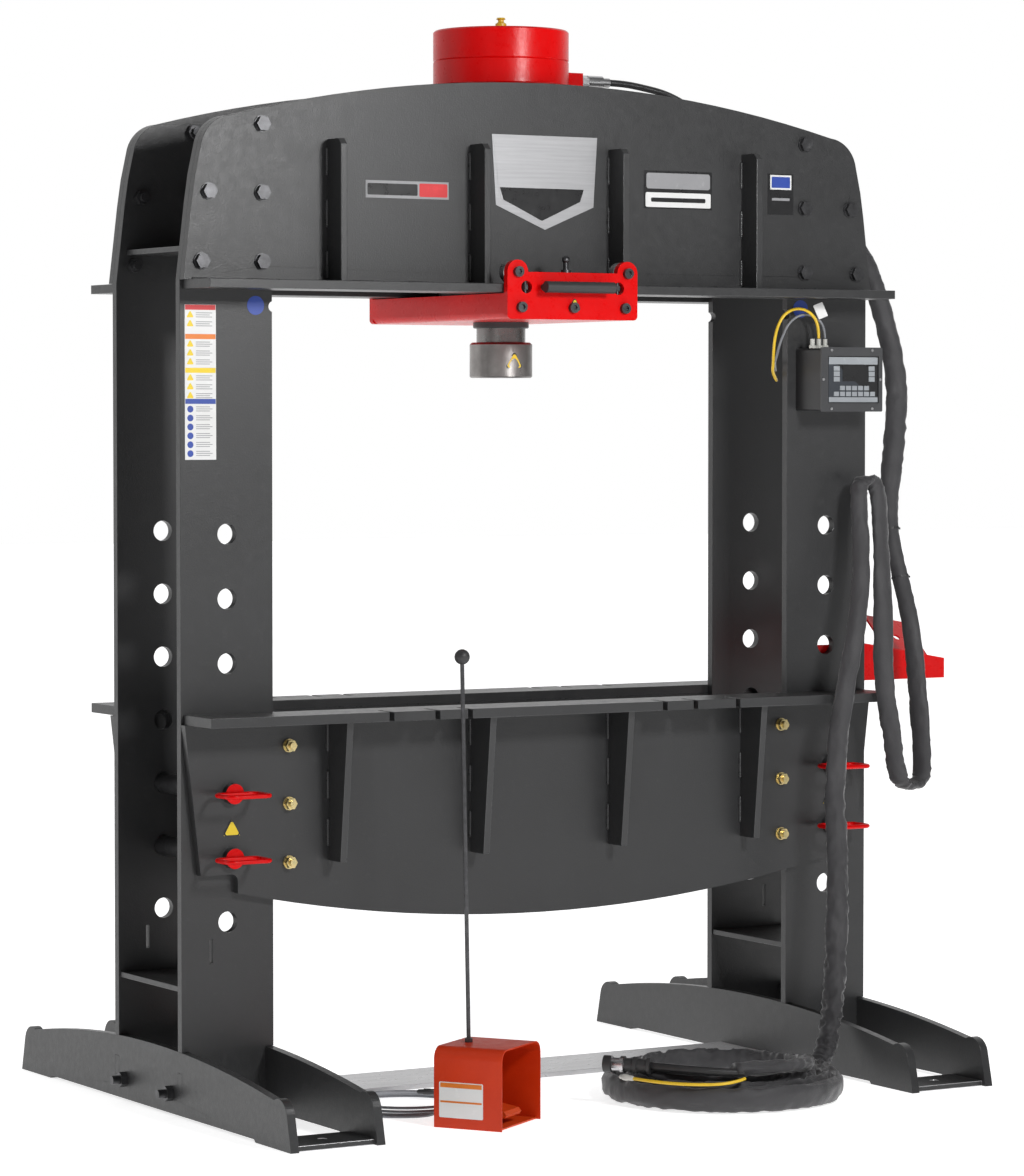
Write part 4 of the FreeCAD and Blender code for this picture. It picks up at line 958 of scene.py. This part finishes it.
def triangle(size, corner=0.12):
    points = []
    for k in range(3):
        a = math.radians(90 + 120 * k)
        for bend in (-50, -25, 0, 25, 50):
            b = a + math.radians(bend)
            points.append((size * (1 - corner * 2) * math.cos(a) + size * corner * 2 * math.cos(b),
                           size * (1 - corner * 2) * math.sin(a) + size * corner * 2 * math.sin(b)))
    return points


def joined(name, parts):
    # makes one piece of several patches
    keep = parts[0]
    mesh = bmesh.new()
    mats = []
    for part in parts:
        offset = len(mats)
        mats += list(part.data.materials)
        start = len(mesh.faces)
        mesh.from_mesh(part.data)
        mesh.faces.ensure_lookup_table()
        for face in mesh.faces[start:]:
            face.material_index += offset
    keep.data.materials.clear()
    for mat in mats:
        keep.data.materials.append(mat)
    mesh.to_mesh(keep.data)
    mesh.free()
    for part in parts[1:]:
        bpy.data.objects.remove(part)
    keep.name = name


front = {"across": (1, 0, 0), "up": (0, 0, 1), "post": -0.1721, "beam": -0.1921, "carriage": -0.3235}


def onFront(name, outline, x, y, z, finish, lift=0.00025, body="frame"):
    return patch(name, outline, (x, y, z), front["across"], front["up"], finish, body, lift)


# A safety strip without words: coloured headers over rows of plain blocks.
strip = {
    "x": -0.864,
    "wide": 0.076,
    "low": 1.452,
    "heads": [("label_red", 1.786), ("label_orange", 1.722), ("label_yellow", 1.648),
              ("label_blue", 1.580)],
    "headHigh": 0.011,
    "firstRow": 0.016,
    "rowStep": 0.0195,
    "triangle": 0.0085,
    "disc": 0.0075,
    "signIn": 0.013,
    "line": (0.040, 0.0016),
    "lineStep": 0.0045,
    "lift": 0.0003,
}


def stripRow(spec, block, z):
    # one plain sign with three plain bars beside it
    last = block == len(spec["heads"]) - 1
    around = [2 * math.pi * j / 16 for j in range(16)]
    disc = [(spec["disc"] * math.cos(a), spec["disc"] * math.sin(a)) for a in around]
    sign = disc if last else triangle(spec["triangle"])
    signX = spec["x"] - spec["wide"] / 2 + spec["signIn"]
    colour = "label_blue" if last else "label_yellow"
    row = [onFront("sign", sign, signX, front["post"], z - 0.001, colour, spec["lift"])]
    for k in range(3):
        short = (k + block) % 2
        bar = oblong(spec["line"][0] - 0.006 * short, spec["line"][1])
        barX = spec["x"] + 0.009 - 0.003 * short
        row.append(onFront("bar", bar, barX, front["post"], z + 0.004 - spec["lineStep"] * k, "label_grey",
                           spec["lift"]))
    return row


def makeStrip(spec):
    parts = []
    for block, (finish, z) in enumerate(spec["heads"]):
        header = oblong(spec["wide"] - 0.002, spec["headHigh"])
        parts.append(onFront("header", header, spec["x"], front["post"], z, finish, spec["lift"]))
        below = [level for _, level in spec["heads"][block + 1:]]
        floor = below[0] + 0.012 if below else spec["low"] + 0.010
        z -= spec["firstRow"]
        while z > floor:
            parts += stripRow(spec, block, z)
            z -= spec["rowStep"]
    joined("postStrip", parts)


# Plain labels on the beam: outline, x, z, finish and how far each layer stands out.
shieldRim = [(-0.128, 0.090), (0.128, 0.090), (0.116, -0.012), (0.108, -0.048), (0.0, -0.102),
             (-0.108, -0.048), (-0.116, -0.012)]
shieldField = [(-0.1115, -0.022), (0.1115, -0.022), (0.102, -0.050), (0.0, -0.096), (-0.102, -0.050)]
beamLabels = {
    "beamTitle": [
        (oblong(0.180, 0.034, 0.004), 0.366, 2.0505, "label_white", 0.0008),
        (oblong(0.176, 0.0365, 0.006), 0.366, 2.0945, "label_grey", 0.0008),
        (oblong(0.150, 0.010, 0.003), 0.366, 2.0505, "label_black", 0.0012),
    ],
    "beamTag": [
        (oblong(0.207, 0.034, 0.004), -0.3555, 2.0555, "label_grey", 0.0008),
        (oblong(0.128, 0.026, 0.003), -0.394, 2.0555, "label_black", 0.0012),
        (oblong(0.072, 0.030, 0.003), -0.289, 2.0555, "label_red", 0.0012),
    ],
    "beamEndTag": [
        (oblong(0.060, 0.034), 0.6535, 2.100, "label_white", 0.0008),
        (oblong(0.052, 0.026), 0.6535, 2.100, "label_blue", 0.0011),
        (oblong(0.050, 0.006), 0.6535, 2.060, "label_grey", 0.0009),
    ],
    "beamShield": [
        (shieldRim, -0.004, 2.090, "label_silver", 0.0010),
        (shieldField, -0.004, 2.090, "label_black", 0.0013),
    ],
}
# Warning triangles with no sign inside: place, the black and the yellow size, and their lifts.
triangles = {
    "bedTriangle.L": {"place": (-0.8, front["beam"], 0.6355), "sizes": (0.0215, 0.0180),
                      "lifts": (0.0008, 0.0011)},
    "bedTriangle.R": {"place": (0.8, front["beam"], 0.6355), "sizes": (0.0215, 0.0180),
                      "lifts": (0.0008, 0.0011)},
    "carriageTriangle": {"place": (0.004, front["carriage"], 1.797), "sizes": (0.0165, 0.0138),
                         "lifts": (0.0004, 0.0008), "body": "carriage"},
    "ramTriangle": {"turn": -95, "z": 1.672, "radius": 0.073, "sizes": (0.0225, 0.0190),
                    "lifts": (0.0004, 0.0007), "body": "ram"},
}


def makeTriangle(name, spec):
    turn = math.radians(spec.get("turn", 0))
    place = spec.get("place") or (math.cos(turn), math.sin(turn), spec["z"])
    layers = zip(spec["sizes"], ("label_black", "label_yellow"), spec["lifts"])
    joined(name, [
        patch("layer", triangle(size), place, front["across"], front["up"], finish,
              spec.get("body", "frame"), lift, spec.get("radius"))
        for size, finish, lift in layers
    ])


makeStrip(strip)
for name, layers in beamLabels.items():
    joined(name, [
        onFront("layer", outline, x, front["beam"], z, finish, lift)
        for outline, x, z, finish, lift in layers
    ])
for name, spec in triangles.items():
    makeTriangle(name, spec)
print("labels stuck")


# The label on the left wall of the foot switch's guard: size, height, finish and lift of each field.
guard = {
    "centre": (-0.358, -0.554),
    "turn": 34,
    "across": 0.198,
    "slide": 0.016,
    "fields": [
        (oblong(0.106, 0.078, 0.003), 0.062, "label_white", 0.0004),
        (oblong(0.100, 0.010), 0.094, "label_orange", 0.0007),
        (oblong(0.100, 0.004), 0.058, "label_orange", 0.0007),
    ],
}


def makeGuardLabel(spec):
    turn = math.radians(spec["turn"])
    across = Vector((math.cos(turn), math.sin(turn), 0))
    along = Vector((math.sin(turn), -math.cos(turn), 0))
    wall = Vector((*spec["centre"], 0)) - across * (spec["across"] / 2)
    joined("guardLabel", [
        patch("field", outline, wall + Vector((0, 0, z)) - along * spec["slide"], along, front["up"],
              finish, lift=lift)
        for outline, z, finish, lift in spec["fields"]
    ])


tag = {"outline": oblong(0.024, 0.036, 0.002), "place": (0.7485, -0.2215, 1.798), "tilt": 24,
       "swing": (-0.35, 0.1), "lift": 0.0004}


def makeTag(spec):
    lean = math.radians(spec["tilt"])
    across = (math.cos(lean), spec["swing"][0], math.sin(lean))
    up = (-math.sin(lean), spec["swing"][1], math.cos(lean))
    patch("cableTag", spec["outline"], spec["place"], across, up, "label_white", lift=spec["lift"])


makeGuardLabel(guard)
makeTag(tag)
print("tags hung")


# A white wall behind, a dim room in front, one hard light and one soft one.
studio = {
    "key": {"place": (0.35, -3.7, 2.75), "aim": (0.0, 0.0, 1.15), "size": 0.6, "power": 93},
    "fill": {"place": (-5.5, -4.6, 2.4), "aim": (-0.3, 0.0, 1.2), "size": 2.4, "power": 6},
    "frontWall": 0.15,
    "backWall": 0.95,
    "seen": 1.0,
    "floor": (0.90, 0.90, 0.90),
    "floorGlow": 0.72,
    "floorHalf": 40,
    "floorLevel": -0.0006,
}


def hangLight(name, spec):
    data = bpy.data.lights.new(name, "AREA")
    data.energy = spec["power"]
    data.size = spec["size"]
    obj = bpy.data.objects.new(name, data)
    obj.location = spec["place"]
    obj.rotation_euler = (Vector(spec["aim"]) - Vector(spec["place"])).to_track_quat("-Z", "Y").to_euler()
    scene.collection.objects.link(obj)


def lightStudio(spec):
    hangLight("keyLight", spec["key"])
    hangLight("fillLight", spec["fill"])
    world = bpy.data.worlds.new("studio")
    world.use_nodes = True
    tree = world.node_tree
    # the room's brightness goes by direction; the camera itself sees plain white
    rays = add(tree, "ShaderNodeLightPath")
    way = add(tree, "ShaderNodeSeparateXYZ",
              {"Vector": add(tree, "ShaderNodeTexCoord").outputs["Generated"]})
    room = stretchRange(tree, way.outputs["Y"], spec["frontWall"], spec["backWall"], -0.1, 0.35)
    level = stretchRange(tree, rays.outputs["Is Camera Ray"], room, spec["seen"], 0, 1)
    back = tree.nodes["Background"]
    back.inputs["Color"].default_value = (1, 1, 1, 1)
    tree.links.new(level, back.inputs["Strength"])
    scene.world = world
    print("studio lit")


def layFloor(spec):
    mesh = bpy.data.meshes.new("floor")
    half, level = spec["floorHalf"], spec["floorLevel"]
    corners = [(x * half, y * half, level) for x, y in ((-1, -1), (1, -1), (1, 1), (-1, 1))]
    mesh.from_pydata(corners, [], [(0, 1, 2, 3)])
    floor = bpy.data.objects.new("floor", mesh)
    scene.collection.objects.link(floor)
    mat, tree, shader = freshFinish("paleFloor")
    where = placeOn(tree)
    tone = mixColours(tree, stretchRange(tree, blotches(tree, where, 1.5), 0, 1), spec["floor"],
                      [c * 0.985 for c in spec["floor"]])
    tree.links.new(tone, shader.inputs["Base Color"])
    shader.inputs["Roughness"].default_value = 0.7
    shader.inputs["Emission Color"].default_value = (1, 1, 1, 1)
    shader.inputs["Emission Strength"].default_value = spec["floorGlow"]
    floor.data.materials.append(mat)


lightStudio(studio)
layFloor(studio)
scene.view_settings.view_transform = "Standard"
